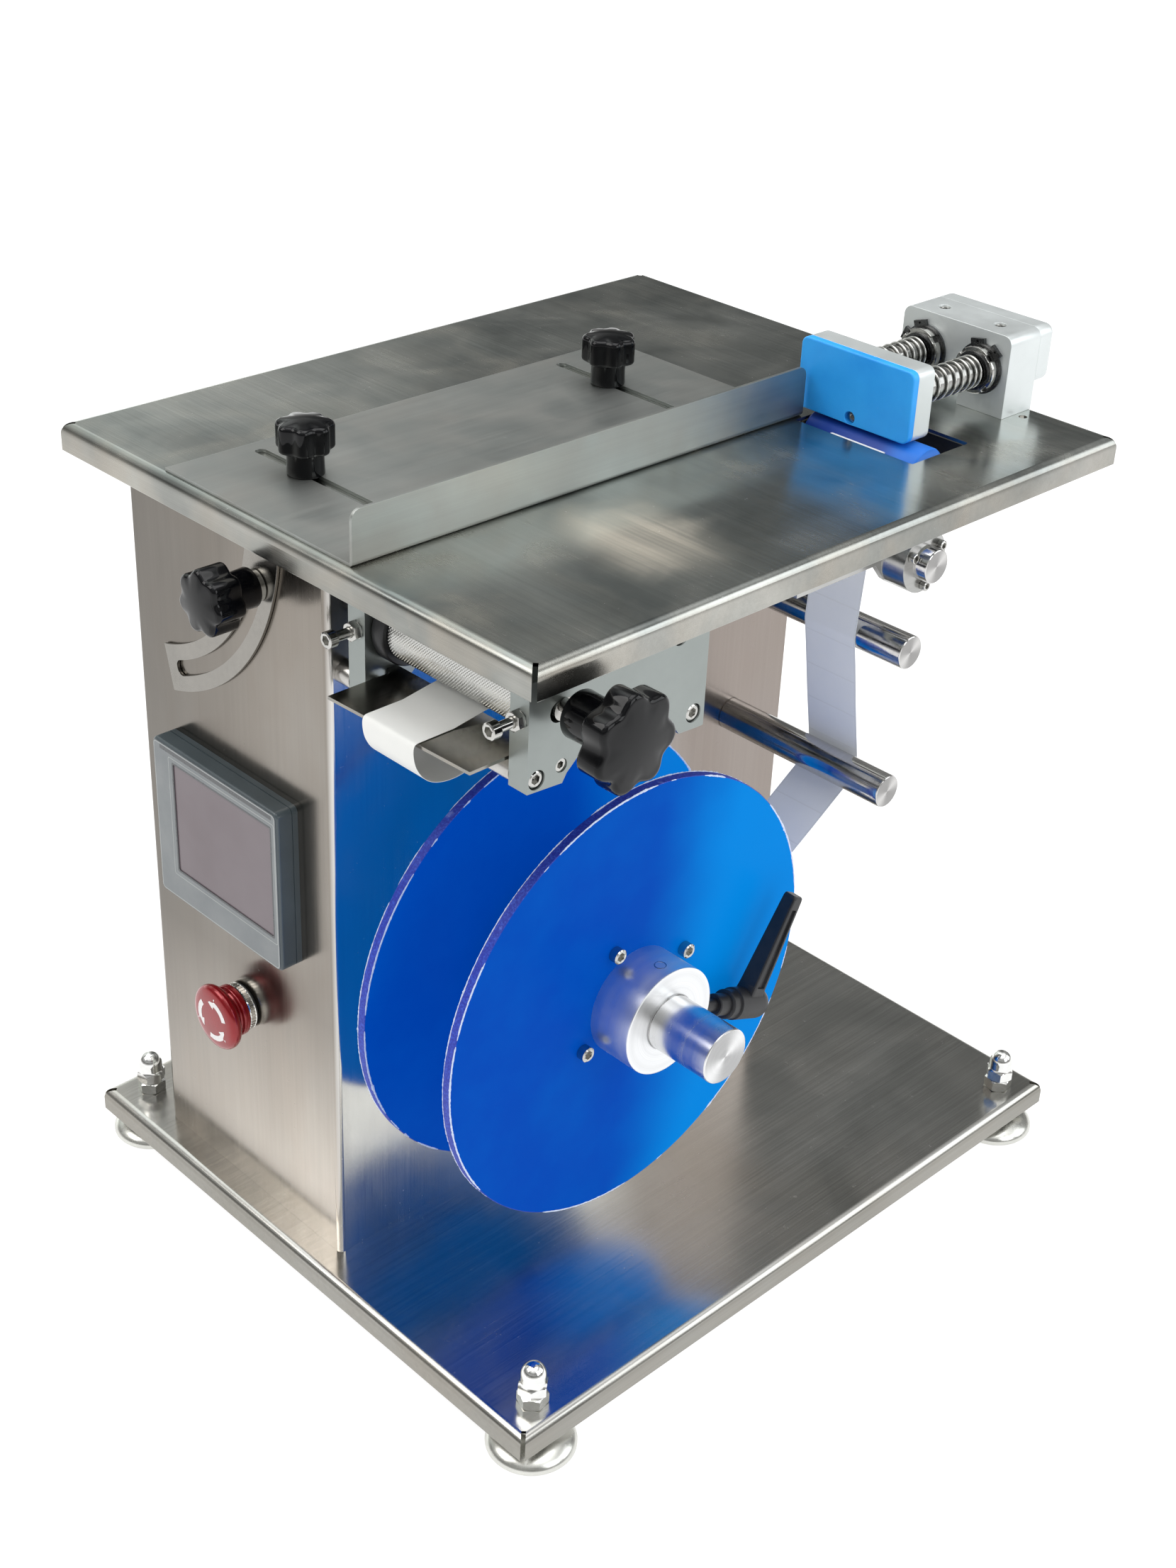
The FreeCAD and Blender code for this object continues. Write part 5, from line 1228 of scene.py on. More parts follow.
g = G()
for x in SHX:
    ya, yb, turns, R, w = 374.4, 435.8, 8.6, 9.60, 0.82
    steps = int(turns * 36)
    pts = []
    for k in range(steps + 1):
        f = k / steps
        # wide pitch by the block, close-wound towards the nut
        y = ya + w + (yb - ya - 2 * w) * (1 - (1 - f) ** 1.3)
        a = 2 * math.pi * turns * f + 0.6
        pts.append(Vector((x + R * math.cos(a), y, SHZ + R * math.sin(a))))
    m_ = 8
    row = []
    o = len(g.v)
    for k, p in enumerate(pts):
        t = (pts[min(k + 1, steps)] - pts[max(k - 1, 0)]).normalized()
        rad = Vector((p.x - x, 0, p.z - SHZ)).normalized()
        rad = (rad - t * rad.dot(t)).normalized()
        bi = t.cross(rad)
        for j in range(m_):
            b = 2 * math.pi * j / m_
            g.v.append(p + rad * (w * math.cos(b)) + bi * (w * math.sin(b)))
    for k in range(steps):
        for j in range(m_):
            j2 = (j + 1) % m_
            g.f.append((o + k * m_ + j, o + k * m_ + j2, o + (k + 1) * m_ + j2, o + (k + 1) * m_ + j))
            g.m.append(0)
    g.f.append(tuple(o + j for j in reversed(range(m_))))
    g.m.append(0)
    g.f.append(tuple(o + steps * m_ + j for j in range(m_)))
    g.m.append(0)
SPRINGWIRE = simple("spring_wire", (0.50, 0.50, 0.48), 1.0, 0.22, 0.05, 60.0, 0.03, 1500.0, 0.0001, 0.03).m
SPRINGS = obj(g, "press_coil_springs", SPRINGWIRE, body_of("press_springs"), "stainless_polished", "press_springs", smooth=60)

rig.squash(SPRINGS, "press_slide", axis=(0, 1, 0), anchor=tuple(P(0, 374.15, 0)), keep=0.7575)

# ------------------------------------------------------------------
# rods, bracket, soft roller, peel plate
# ------------------------------------------------------------------
RODS = ((344.0, -218.0), (350.0, -121.6), (365.7, -68.5))
g = G()
for k, (yy, zz) in enumerate(RODS):
    rings(g, (-171.0, yy, zz), (1, 0, 0), [(-14.0, 0.0), (-14.0, 4.6), (-13.5, 5.0), (0.0, 5.0), (0.0, 10.6), (0.4, 11.0),
                                          (134.5, 11.0), (135.2, 10.7), (135.5, 10.2), (135.5, 0.0)], 96, k, False, False)
    nut(g, 17, 7, (-180.0, yy, zz), (1, 0, 0), 5.0, 0, k)
obj(g, "guide_rod_bars", [ROD[0], ROD[1], ROD[2]], body_of("guide_rods"), "stainless_polished", "guide_rods", smooth=28)
rb = refine("roller_bracket", SHEET, "aluminium", 0.35, 2, 34)
# painted shade: the bracket's faces behind the roller are made near-black
BRACKET_PAINTED_SHADE = simple("bracket_painted_shade", (0.012, 0.013, 0.016), 0.3, 0.45, 0.2, 60.0, 0.1, 1600.0, 0.0001).m
rb.data.materials.append(BRACKET_PAINTED_SHADE)
for p in rb.data.polygons:
    if p.center.y > P(0, 387.0, 0)[1]:
        p.material_index = 1
UY, UZ = RODS[2]
g = G()
for a in (153, 273, 33):
    t = math.radians(a)
    capscrew(g, (-45.0, UY + 15.2 * math.cos(t), UZ + 15.2 * math.sin(t)), (1, 0, 0), 4, 12.0)
rings(g, (-145.0, 364.0, -12.3), (1, 0, 0), [(0, 0), (0, 3.95), (90.6, 3.95), (91.0, 3.5), (91.0, 0)], 48)
nut(g, 13, 5, (-147.0, 364.0, -12.3), (1, 0, 0))
for xs in (-124.0, -75.0):
    capscrew(g, (xs, 309.0, -60.2), (0, 0, 1), 4, 5.8)
obj(g, "bracket_fixings", CHROME, body_of("bracket_screws"), "stainless_polished", "bracket_screws")
g = G()
lathe(g, [(-136.5, 4.02), (-136.5, 14.6), (-135.9, 15.2), (-135.2, 15.5), (-51.8, 15.5), (-51.1, 15.2), (-50.5, 14.6),
          (-50.5, 7.0), (-53.0, 6.6), (-53.0, 4.02)], (0, 364.0, -12.3), (1, 0, 0), 96)
obj(g, "soft_roller_body", ROLLER_PU, body_of("applicator_roller"), "blue_polyurethane", "applicator_roller", smooth=40)
# near-white and partly diffuse: a painted highlight standing in for the white light along the peel plate's edge
PEEL = simple("peel_edge_steel", (0.92, 0.93, 0.94), 0.35, 0.40, 0.03, 60.0, 0.05, 1500.0, 0.0001).m
refine("peel_plate", PEEL, "stainless", 0.0, 2, 30)

# ------------------------------------------------------------------
# label head
# ------------------------------------------------------------------
refine("head_outer_plate", ALU_HEAD, "aluminium", 0.45, 2, 30)
refine("head_inner_plate", ALU_HEAD, "aluminium", 0.45, 2, 30)
refine("guide_plate", PLATE, "stainless", 0.2, 2, 30)
refine("nip_axle", ZINC, "stainless_polished", 0.3, 2, 34)
STAND = ((18.9, -78.6), (133.5, -80.0), (120.0, -29.5))
g = G()
for (yy, zz) in STAND:
    capscrew(g, (-23.0, yy, zz), (1, 0, 0), 6, 155.0)
    nut(g, 10, 5, (-178.0, yy, zz), (1, 0, 0), 2.9)
setscrew(g, (-17.3, 36.0, -76.3), (1, 0, 0), 7.8, 9.0)
for xx in (-348.9, -179.0):
    for zz in (-40, -250, -460):
        rings(g, (xx, 395.0, zz), (0, 1, 0), [(-2.0, 0), (-2.0, 2.0), (0.0, 2.0), (0.0, 3.7), (0.35, 3.8), (1.1, 3.3),
                                             (1.6, 2.3), (1.6, 1.5), (1.55, hexr(2.5)), (0.5, hexr(2.5)), (0.5, 0)], 48)
obj(g, "head_cap_screws", CHROME, body_of("machine_screws"), "stainless_polished", "machine_screws")
g = G()
for xm in (-23.5, -152.0):
    capscrew(g, (xm, -2.5, -44.0), (0, -1, 0), 6, 27.0)
    nut(g, 10, 5, (xm, 7.4, -44.0), (0, 1, 0), 2.95, 20)
    # washer face under the nut
    lathe(g, [(11.9, 2.95), (11.9, 5.2), (12.35, 5.2), (12.35, 2.95)], (xm, 0, -44.0), (0, 1, 0), 48)
obj(g, "jack_screw_set", CHROME, body_of("jack_screws"), "stainless_polished", "jack_screws")

# knurled roller: raised diamonds cut by two families of helical grooves
g = G()
KY, KZ, KR = 39.0, -44.0, 19.5
pitch = 1.95
na = int(round(2 * math.pi * KR / pitch)) * 4
L0, L1 = -134.4, -34.3
nl = int(round((L1 - L0) / pitch)) * 4
cell = 2 * math.pi / (na / 4)
rows = []
for j in range(nl + 1):
    x = L0 + (L1 - L0) * j / nl
    row = []
    for k in range(na):
        p = (k + j) % 4 / 4.0
        q = (k - j) % 4 / 4.0
        d = min(abs(p - 0.0), abs(1 - p), abs(q - 0.0), abs(1 - q))
        h = 0.0 if d < 0.01 else (0.20 if d < 0.3 else 0.30)
        t = 2 * math.pi * k / na
        rr = KR - 0.30 + h
        row.append((x, KY + rr * math.cos(t), KZ + rr * math.sin(t)))
    rows.append(row)
vs = [p for row in rows for p in row]
fs = []
for j in range(nl):
    for k in range(na):
        k2 = (k + 1) % na
        fs.append((j * na + k, (j + 1) * na + k, (j + 1) * na + k2, j * na + k2))
g.add(vs, fs)
for (xa, xb) in ((-135.2, L0), (-33.5, L1)):
    rings(g, (0, KY, KZ), (1, 0, 0), [(xa, 4.03), (xa, KR - 1.2), (xa + (0.5 if xb > xa else -0.5), KR - 0.6), (xb, KR - 0.3)], na, 0, False, False)
rings(g, (0, KY, KZ), (1, 0, 0), [(-135.2, 4.03), (-33.5, 4.03)], na, 0, False, False)
obj(g, "knurled_roller_body", simple("knurled_steel", (0.62, 0.62, 0.60), 1.0, 0.26, 0.06, 60.0, 0.05).m,
    body_of("knurled_roller"), "stainless_polished", "knurled_roller", smooth=12)
g = G()
lathe(g, [(-144.4, 4.03), (-144.4, 22.3), (-143.7, 23.0), (-136.2, 23.0), (-135.2, 22.2), (-135.2, 4.03)], (0, KY, KZ), (1, 0, 0), 96)
obj(g, "roller_flange_disc", MATTE, body_of("roller_flange"), "black_matte", "roller_flange", smooth=40)
g = G()
lathe(g, [(-134.8, 8.0), (-134.8, 19.4), (-134.2, 20.0), (-34.6, 20.0), (-34.0, 19.4), (-34.0, 8.0)], (0, 79.4, -44.0), (1, 0, 0), 96)
obj(g, "drive_roller_sleeve", RUBBER, body_of("drive_roller"), "black_rubber", "drive_roller", smooth=40)
refine("drive_shaft", ZINC, "stainless_polished", 0.2, 2, 34)
refine("spacer_rods", ZINC, "stainless", 0.2, 2, 34)
refine("drive_motor", ENAMEL, "dark_enamel", 0.5, 2, 34)
refine("control_unit", GREYBOX, "dark_enamel", 0.6, 2, 34)
refine("power_inlet", SLATE_RIM, "black_matte", 0.4, 2, 34)
refine("reel_bearings", ZINC, "stainless", 0.3, 2, 34)

# ------------------------------------------------------------------
# reel
# ------------------------------------------------------------------
RY, RZ = 136.0, -288.2


def disc(name, x0, x1, bore, holes, mat, node, seed, both=True):
    g = G()
    R = 144.4
    rr = random.Random(seed)
    n = 240
    # sawn rim: a little uneven
    off = []
    v = 0.0
    for k in range(n):
        v = 0.86 * v + rr.uniform(-0.10, 0.10)
        off.append(v)
    for k in range(12):
        f = k / 12.0
        off[-12 + k] = off[-12 + k] * (1 - f) + off[0] * f
    c = 0.35
    ring = lambda rad, wob: [(RY + (rad + (off[k] if wob else 0.0)) * math.cos(2 * math.pi * k / n),
                              RZ + (rad + (off[k] if wob else 0.0)) * math.sin(2 * math.pi * k / n)) for k in range(n)]
    outer = ring(R - 0.75, False)
    loops = [circle(RY, RZ, bore, 72)] + [circle(a, b, r_, 24) for a, b, r_ in holes]
    g0 = len(g.v)
    flat_with_holes(g, outer, loops, x1, x0, False, "yz", 0)
    # rim bands
    st = [(x0, R - 0.75, 0.0), (x0 + 0.25, R - 0.35, 0.6), (x0 + 1.2, R - 0.3, 1.0), ((x0 + x1) / 2, R - 0.42, 1.0),
          (x1 - 1.2, R - 0.3, 1.0), (x1 - 0.25, R - 0.35, 0.6), (x1, R - 0.75, 0.0)]
    rows = []
    for (x, rad, wb) in st:
        jit = [rr.uniform(-0.09, 0.09) * wb for _ in range(n)]
        rows.append([(x, RY + (rad + off[k] * wb * 0.6 + jit[k]) * math.cos(2 * math.pi * k / n),
                      RZ + (rad + off[k] * wb * 0.6 + jit[k]) * math.sin(2 * math.pi * k / n)) for k in range(n)])
    rows[0] = [(x0, a, b) for a, b in outer]
    rows[-1] = [(x1, a, b) for a, b in outer]
    vs = [p for row in rows for p in row]
    fs = []
    for s in range(len(rows) - 1):
        for k in range(n):
            k2 = (k + 1) % n
            fs.append((s * n + k, s * n + k2, (s + 1) * n + k2, (s + 1) * n + k))
    g.add(vs, fs, 1)
    # burrs: ragged flakes that stand on the rim's two edges
    m_ = 900
    for (xe, sgn, dens) in ((x1, 1, 0.62), (x0, -1, 0.80)):
        live = 0
        amp = 0.0
        last = None
        for k in range(m_ + 1):
            t = 2 * math.pi * k / m_
            if live <= 0:
                live = rr.randint(8, 46)
                on = rr.random() < dens
            live -= 1
            amp = 0.7 * amp + 0.3 * (rr.uniform(0.25, 1.0) if on else 0.0)
            if rr.random() < 0.018:
                amp += rr.uniform(0.3, 0.9)
            amp = min(amp, 1.5)
            w_in = 0.25 + 0.75 * amp * rr.uniform(0.4, 1.0)
            w_out = amp * rr.uniform(0.3, 1.0) * 0.9
            ca, sa = math.cos(t), math.sin(t)
            r_in = R - 0.55 - w_in
            r_out = R - 0.45 + w_out
            lift = 0.06 + 0.25 * amp * rr.random()
            row = [(xe + sgn * 0.03, RY + r_in * ca, RZ + r_in * sa),
                   (xe + sgn * lift, RY + (r_in * 0.45 + r_out * 0.55) * ca, RZ + (r_in * 0.45 + r_out * 0.55) * sa),
                   (xe - sgn * 0.1 * amp, RY + r_out * ca, RZ + r_out * sa),
                   (xe - sgn * (0.35 + 0.5 * amp), RY + (R - 0.45) * ca, RZ + (R - 0.45) * sa)]
            o = len(g.v)
            g.v += [Vector(p) for p in row]
            if last is not None and amp > 0.1:
                for q in range(3):
                    g.f.append((last + q, last + q + 1, o + q + 1, o + q))
                    g.m.append(2)
            last = o
    o_ = obj(g, name, [mat, RIM, BURR], body_of(node), "blue_acrylic", node, smooth=20, flat=True)
    return o_


hs4 = [(RY + 45 * math.cos(math.radians(a)), RZ + 45 * math.sin(math.radians(a)), 3.1) for a in (24, 114, 204, 294)]
disc("reel_disc_front", -56.0, -50.0, 22.0, hs4, ACRYL_F, "front_disc", 5)
disc("reel_disc_back", -130.7, -124.7, 20.0, [], ACRYL_B, "back_disc", 9)

g = G()
rings(g, (0, RY, RZ), (1, 0, 0), [(-240.0, 0.0), (-240.0, 12.5), (-239.5, 13.0), (-235.5, 13.0), (-235.5, 10.0),
                                 (-168.5, 10.0), (-168.5, 17.1), (-168.1, 17.5), (-19.9, 17.5), (-19.9, 17.0), (-18.9, 17.0), (-18.9, 17.5), (24.2, 17.5), (24.7, 17.2), (25.0, 16.7), (25.0, 0.0)],
      128, 0, False, False)
obj(g, "reel_shaft_bar", SHAFT, body_of("reel_shaft"), "stainless_polished", "reel_shaft", smooth=28)
refine("back_flange", HUBALU, "aluminium", 0.3, 2, 34)
g = G()
lathe(g, [(-112.0, 37.8), (-112.0, 40.3), (-111.0, 40.5), (-70.0, 40.5), (-69.0, 40.3), (-69.0, 37.8)], (0, RY, RZ), (1, 0, 0), 96, 1)
lathe(g, [(-111.0, 40.55), (-111.0, 64.9), (-110.85, 65.0), (-70.15, 65.0), (-70.0, 64.9), (-70.0, 40.55)], (0, RY, RZ), (1, 0, 0), 192, 0)
obj(g, "label_roll_wound", [ROLL, simple("core_board", (0.42, 0.31, 0.20), 0.0, 0.8, 0.1, 80.0, 0.3).m],
    body_of("label_roll"), "label_paper", "label_roll", smooth=40)

LEV = math.radians(-22.5)
AXL = Vector((0, math.cos(LEV), math.sin(LEV)))


def at(r, x=-35.0):
    return Vector((x, RY, RZ)) + AXL * r


g = G()
lathe(g, [(-65.0, 17.55), (-65.0, 52.6), (-64.6, 53.0), (-56.5, 53.0), (-56.02, 52.5), (-56.02, 21.9), (-50.0, 21.9), (-50.0, 35.0),
          (-20.8, 35.0), (-20.2, 34.8), (-20.0, 34.2), (-20.0, 18.2), (-20.5, 17.55)], (0, RY, RZ), (1, 0, 0), 128)
# seat of the lever stud, as a dark bore ringed by a small chamfer
rings(g, at(0.0), AXL, [(34.2, 5.2), (34.98, 5.1), (35.06, 4.7), (34.7, 4.15), (31.0, 4.1)], 40, 0, False, False)
obj(g, "reel_clamp_hub", HUBALU, body_of("reel_hub"), "aluminium", "reel_hub", smooth=35)
g = G()
for a in (24, 114, 204, 294):
    t = math.radians(a)
    capscrew(g, (-50.0, RY + 45 * math.cos(t), RZ + 45 * math.sin(t)), (1, 0, 0), 6, 13.5)
obj(g, "reel_hub_capscrews", CHROME, body_of("reel_hub_screws"), "stainless_polished", "reel_hub_screws")
g = G()
# countersunk mouth of the grub screw, drawn just above the hub's crown
rings(g, (-30.0, RY, RZ), (0, 0, 1), [(34.4, 4.0), (35.03, 3.7), (35.03, 3.2), (34.2, 2.9), (34.15, 1.5), (33.9, hexr(2.6)), (32.4, hexr(2.6)), (32.4, 0)],
      48, 0, False, False)
obj(g, "reel_grub_screw", ZINC, body_of("reel_hub_screws"), "stainless_polished")

# clamp lever
g = G()
rings(g, at(0), AXL, [(18.5, 0.0), (18.5, 4.0), (60.5, 4.0), (60.5, 6.2), (61.0, 7.0), (70.8, 7.0), (71.0, 8.6), (71.6, 9.3),
                     (78.2, 9.3), (78.4, 9.2), (78.8, 10.2), (101.0, 10.2)] +
      [(101.0 + 10.2 * math.sin(math.radians(a)), 10.2 * math.cos(math.radians(a))) for a in (15, 30, 45, 60, 75)] + [(111.2, 0.0)],
      64, 0, False, False)
# then the arm from the small hub: a tapered bar with a sunk face
tip = Vector((-33.0, 257.6, -257.7))
root = at(93.0)
d = (tip - root)
L = d.length
d.normalize()
side = (Vector((1, 0, 0)) - d * d.x).normalized()
up = d.cross(side)
stations = [(-0.02, 6.9, 6.5, 0), (0.10, 6.9, 6.4, 0), (0.17, 6.6, 6.0, 0), (0.175, 6.6, 6.0, 1.5), (0.45, 6.0, 5.5, 1.5), (0.88, 5.0, 4.7, 1.5),
            (0.885, 5.0, 4.7, 0), (0.97, 4.8, 4.5, 0), (0.99, 4.6, 4.3, 0), (1.0, 4.1, 3.8, 0)]
sec_rows = []
for (f, w, h, dp) in stations:
    c = root + d * (L * f)
    e = 1.3
    pts = [(w, -h + e), (w, -h + e + 1.2), (w - dp, -h + e + 1.7), (w - dp, h - e - 1.7), (w, h - e - 1.2), (w, h - e), (w - e * 0.3, h - e * 0.3),
           (w - e, h), (-w + e, h), (-w + e * 0.3, h - e * 0.3), (-w, h - e), (-w, -h + e), (-w + e * 0.3, -h + e * 0.3), (-w + e, -h), (w - e, -h),
           (w - e * 0.3, -h + e * 0.3)]
    sec_rows.append([c + side * a + up * b for a, b in pts])
N = len(sec_rows[0])
vs = [p for row in sec_rows for p in row]
fs = []
for s in range(len(sec_rows) - 1):
    for k in range(N):
        k2 = (k + 1) % N
        fs.append((s * N + k, s * N + k2, (s + 1) * N + k2, (s + 1) * N + k))
fs.append(tuple(reversed(range(N))))
fs.append(tuple(range((len(sec_rows) - 1) * N, len(sec_rows) * N)))
g.add(vs, fs)
obj(g, "reel_clamp_lever", MATTE, body_of("clamp_lever"), "black_matte", "clamp_lever", smooth=38)

# ------------------------------------------------------------------
# operator panel
# ------------------------------------------------------------------
HX0, HX1, HZ0, HZ1 = -326.0, -202.0, -285.0, -175.0
g = G()
m_ = 5
prof = [(6.9, 0.0), (3.2, 0.0), (3.1, 0.5), (2.7, 0.5), (2.6, 0.0), (-6.2, 0.0)]
prof += [(-6.2 - 1.8 * math.sin(math.radians(a)), 1.8 * (1 - math.cos(math.radians(a)))) for a in (22.5, 45, 67.5, 90)]
loops = [rrect(HX0 + off, HX1 - off, HZ0 + off, HZ1 - off, 4.0 - min(off, 2), 6) for (_, off) in prof]
N = len(loops[0])
vs = [(p[0], prof[s][0], p[1]) for s in range(len(prof)) for p in loops[s]]
fs = []
for s in range(len(prof) - 1):
    for k in range(N):
        k2 = (k + 1) % N
        fs.append((s * N + k, s * N + k2, (s + 1) * N + k2, (s + 1) * N + k))
g.add(vs, fs)
# front face with the recess for the screen, back face, rear body
hole = [(-308.5, -265.2), (-205.4, -265.2), (-205.4, -184.2), (-308.5, -184.2)]
pts = [Vector(p) for p in loops[-1]] + [Vector(p) for p in hole]
edges = [(k, (k + 1) % N) for k in range(N)] + [(N + k, N + (k + 1) % 4) for k in range(4)]
res = delaunay_2d_cdt(pts, edges, [], 4, 1e-6, True)
g.add([(p[0], -8.0, p[1]) for p in res[0]], open_faces(res[0], res[2], [hole]))
g.add([(p[0], -8.0, p[1]) for p in hole] + [(p[0], -7.0, p[1]) for p in hole],
      [(0, 1, 5, 4), (1, 2, 6, 5), (2, 3, 7, 6), (3, 0, 4, 7), (4, 5, 6, 7)])
g.add([(p[0], 6.9, p[1]) for p in loops[0]], [tuple(range(N))])
b = [(HX0 + 8, HZ0 + 8), (HX1 - 8, HZ0 + 8), (HX1 - 8, HZ1 - 8), (HX0 + 8, HZ1 - 8)]
g.add([(p[0], 6.9, p[1]) for p in b] + [(p[0], 42.0, p[1]) for p in b],
      [(0, 1, 5, 4), (1, 2, 6, 5), (2, 3, 7, 6), (3, 0, 4, 7), (4, 5, 6, 7)])
obj(g, "panel_bezel", SLATE, body_of("hmi_bezel"), "black_matte", "hmi_bezel", smooth=40)


def frame_strip(g, x0, x1, z0, z1, w, y0, y1, r=1.0, mi=0):
    a = rrect(x0, x1, z0, z1, r, 4)
    b_ = rrect(x0 + w, x1 - w, z0 + w, z1 - w, max(0.1, r - w), 4)
    n = len(a)
    vs = [(p[0], y0, p[1]) for p in a] + [(p[0], y0, p[1]) for p in b_] + [(p[0], y1, p[1]) for p in a] + [(p[0], y1, p[1]) for p in b_]
    fs = []
    for k in range(n):
        k2 = (k + 1) % n
        fs += [(k, k2, n + k2, n + k), (2 * n + k, 3 * n + k, 3 * n + k2, 2 * n + k2), (k, 2 * n + k, 2 * n + k2, k2),
               (n + k, n + k2, 3 * n + k2, 3 * n + k)]
    g.add(vs, fs, mi)


g = G()
FX0, FX1, FZ0, FZ1 = -324.5, -203.5, -283.5, -176.5
pts_o = rrect(FX0, FX1, FZ0, FZ1, 3.0, 5)
win = rrect(-305.0, -208.5, -262.0, -186.5, 1.2, 4)
N = len(pts_o)
pts = [Vector(p) for p in pts_o] + [Vector(p) for p in win]
edges = [(k, (k + 1) % N) for k in range(N)] + [(N + k, N + (k + 1) % len(win)) for k in range(len(win))]
res = delaunay_2d_cdt(pts, edges, [], 4, 1e-6, True)
fs = open_faces(res[0], res[2], [win])
g.add([(p[0], -8.45, p[1]) for p in res[0]], fs)
g.add([(p[0], -8.05, p[1]) for p in res[0]], [tuple(reversed(f)) for f in fs])
for lp in (pts_o, win):
    n = len(lp)
    g.add([(p[0], -8.45, p[1]) for p in lp] + [(p[0], -8.05, p[1]) for p in lp],
          [(k, (k + 1) % n, n + (k + 1) % n, n + k) for k in range(n)])
# thin printed frames: light line outside, dark line about the window
frame_strip(g, FX0 + 0.3, FX1 - 0.3, FZ0 + 0.3, FZ1 - 0.3, 0.7, -8.50, -8.44, 2.7, 1)
frame_strip(g, -309.6, -204.6, -266.4, -182.6, 0.55, -8.50, -8.44, 1.6, 1)
frame_strip(g, -306.1, -207.4, -263.1, -185.4, 1.1, -8.50, -8.44, 1.4, 2)
# dark band along the top edge, left bare
g.add([(-318.0, -8.49, -180.4), (-207.0, -8.49, -180.4), (-207.0, -8.49, -177.6), (-318.0, -8.49, -177.6),
       (-318.0, -8.44, -180.4), (-207.0, -8.44, -180.4), (-207.0, -8.44, -177.6), (-318.0, -8.44, -177.6)],
      [(0, 1, 2, 3), (4, 7, 6, 5), (0, 4, 5, 1), (1, 5, 6, 2), (2, 6, 7, 3), (3, 7, 4, 0)], 2)
obj(g, "panel_film", [FILM, FILM_LIGHT, FILM_DARK], body_of("hmi_film"), "grey_film", "hmi_film", smooth=30)
g = G()
sx0, sx1, sz0, sz1 = -307.9, -206.0, -264.6, -184.8
nx, nz = 12, 10
vs, fs = [], []
for j in range(nz + 1):
    for i in range(nx + 1):
        x = sx0 + (sx1 - sx0) * i / nx
        z = sz0 + (sz1 - sz0) * j / nz
        vs.append((x, -7.8, z))
for j in range(nz):
    for i in range(nx):
        a = j * (nx + 1) + i
        fs.append((a, a + 1, a + nx + 2, a + nx + 1))
g.add(vs, fs)
g.add([(sx0, -7.8, sz0), (sx1, -7.8, sz0), (sx1, -7.8, sz1), (sx0, -7.8, sz1), (sx0, -7.0, sz0), (sx1, -7.0, sz0), (sx1, -7.0, sz1), (sx0, -7.0, sz1)],
      [(0, 4, 5, 1), (1, 5, 6, 2), (2, 6, 7, 3), (3, 7, 4, 0), (4, 7, 6, 5)])
obj(g, "panel_screen", SCREEN, body_of("hmi_screen"), "screen_glass", "hmi_screen", smooth=30)

# ------------------------------------------------------------------
# stop button
# ------------------------------------------------------------------
EX, EZ = -264.0, -348.9
SB = lambda st_: [(-y_, r_) for y_, r_ in st_]          # (y, radius) to (height in front, radius)
g = G()
rings(g, (EX, 0, EZ), (0, -1, 0), SB([(6.9, 9.0), (6.9, 14.2), (6.6, 14.7), (6.1, 14.9), (5.7, 14.7), (5.3, 14.2), (5.3, 9.0)]), 96, 1, False, False)
kn = lambda t: 15.8 - (0.5 if math.cos(t * 40) > 0.1 else 0.0)
rings(g, (EX, 0, EZ), (0, -1, 0), SB([(5.28, 9.0), (5.28, 15.2), (5.0, 15.7), (4.6, 15.8), (4.3, 15.5), (4.1, kn), (1.1, kn), (0.9, 15.5),
                                      (0.6, 15.8), (0.2, 15.7), (-0.1, 15.2), (-0.1, 9.4), (0.3, 9.0), (17.0, 9.0)]), 320, 2, False, False)
obj(g, "stop_button_collar", [GREYRING, RUBBER, ACORN], body_of("estop_body"), "stainless_polished", smooth=30)
g = G()
rings(g, (EX, 0, EZ), (0, 1, 0), [(7.0, 9.05), (7.0, 11.0), (8.9, 11.0), (8.9, 15.0), (14.9, 15.0), (14.9, 12.0)], 48, 0, False, False)
g.add([(EX + a, y, EZ + b_) for y in (13.9, 58.0) for a, b_ in ((-15, -20), (15, -20), (15, 20), (-15, 20))],
      [(0, 1, 5, 4), (1, 2, 6, 5), (2, 3, 7, 6), (3, 0, 4, 7), (4, 5, 6, 7), (0, 3, 2, 1)])
o = obj(g, "stop_button_contacts", ENAMEL, body_of("estop_body"), "dark_enamel", "estop_body", smooth=30)
g = G()
rings(g, (EX, 0, EZ), (0, -1, 0), SB([(28.0, 0.0), (28.0, 5.0), (11.5, 5.0), (11.5, 8.6), (-4.3, 8.6), (-4.3, 15.9), (-4.0, 16.1), (-1.0, 16.1),
                                      (-0.7, 16.3), (-0.75, 16.7), (-1.1, 17.0), (-2.4, 17.0), (-2.6, 16.75), (-3.0, 16.75), (-3.2, 17.0), (-4.6, 17.0), (-5.0, 16.7),
                                      (-5.2, 15.8), (-5.4, 14.8), (-6.2, 14.3), (-7.4, 14.5), (-8.5, 15.2), (-8.9, 15.9), (-8.9, 5.0),
                                      (-14.0, 5.0), (-14.0, 0.0)]), 128, 0, False, False)
obj(g, "stop_button_neck", RED, body_of("estop_stem"), "red_plastic", "estop_stem", smooth=40)
g = G()
hp = [(0.0, 5.1), (0.0, 17.0), (0.25, 18.6), (0.8, 20.0), (1.8, 21.2), (3.2, 21.9), (4.4, 22.0), (5.4, 21.9), (6.4, 21.5), (7.2, 20.8),
      (7.9, 19.8), (8.35, 18.6), (8.7, 17.0), (9.0, 14.5), (9.2, 10.0), (9.35, 5.0), (9.4, 0.0)]
rings(g, (EX, -9.1, EZ), (0, -1, 0), hp, 128, 0, False, False)


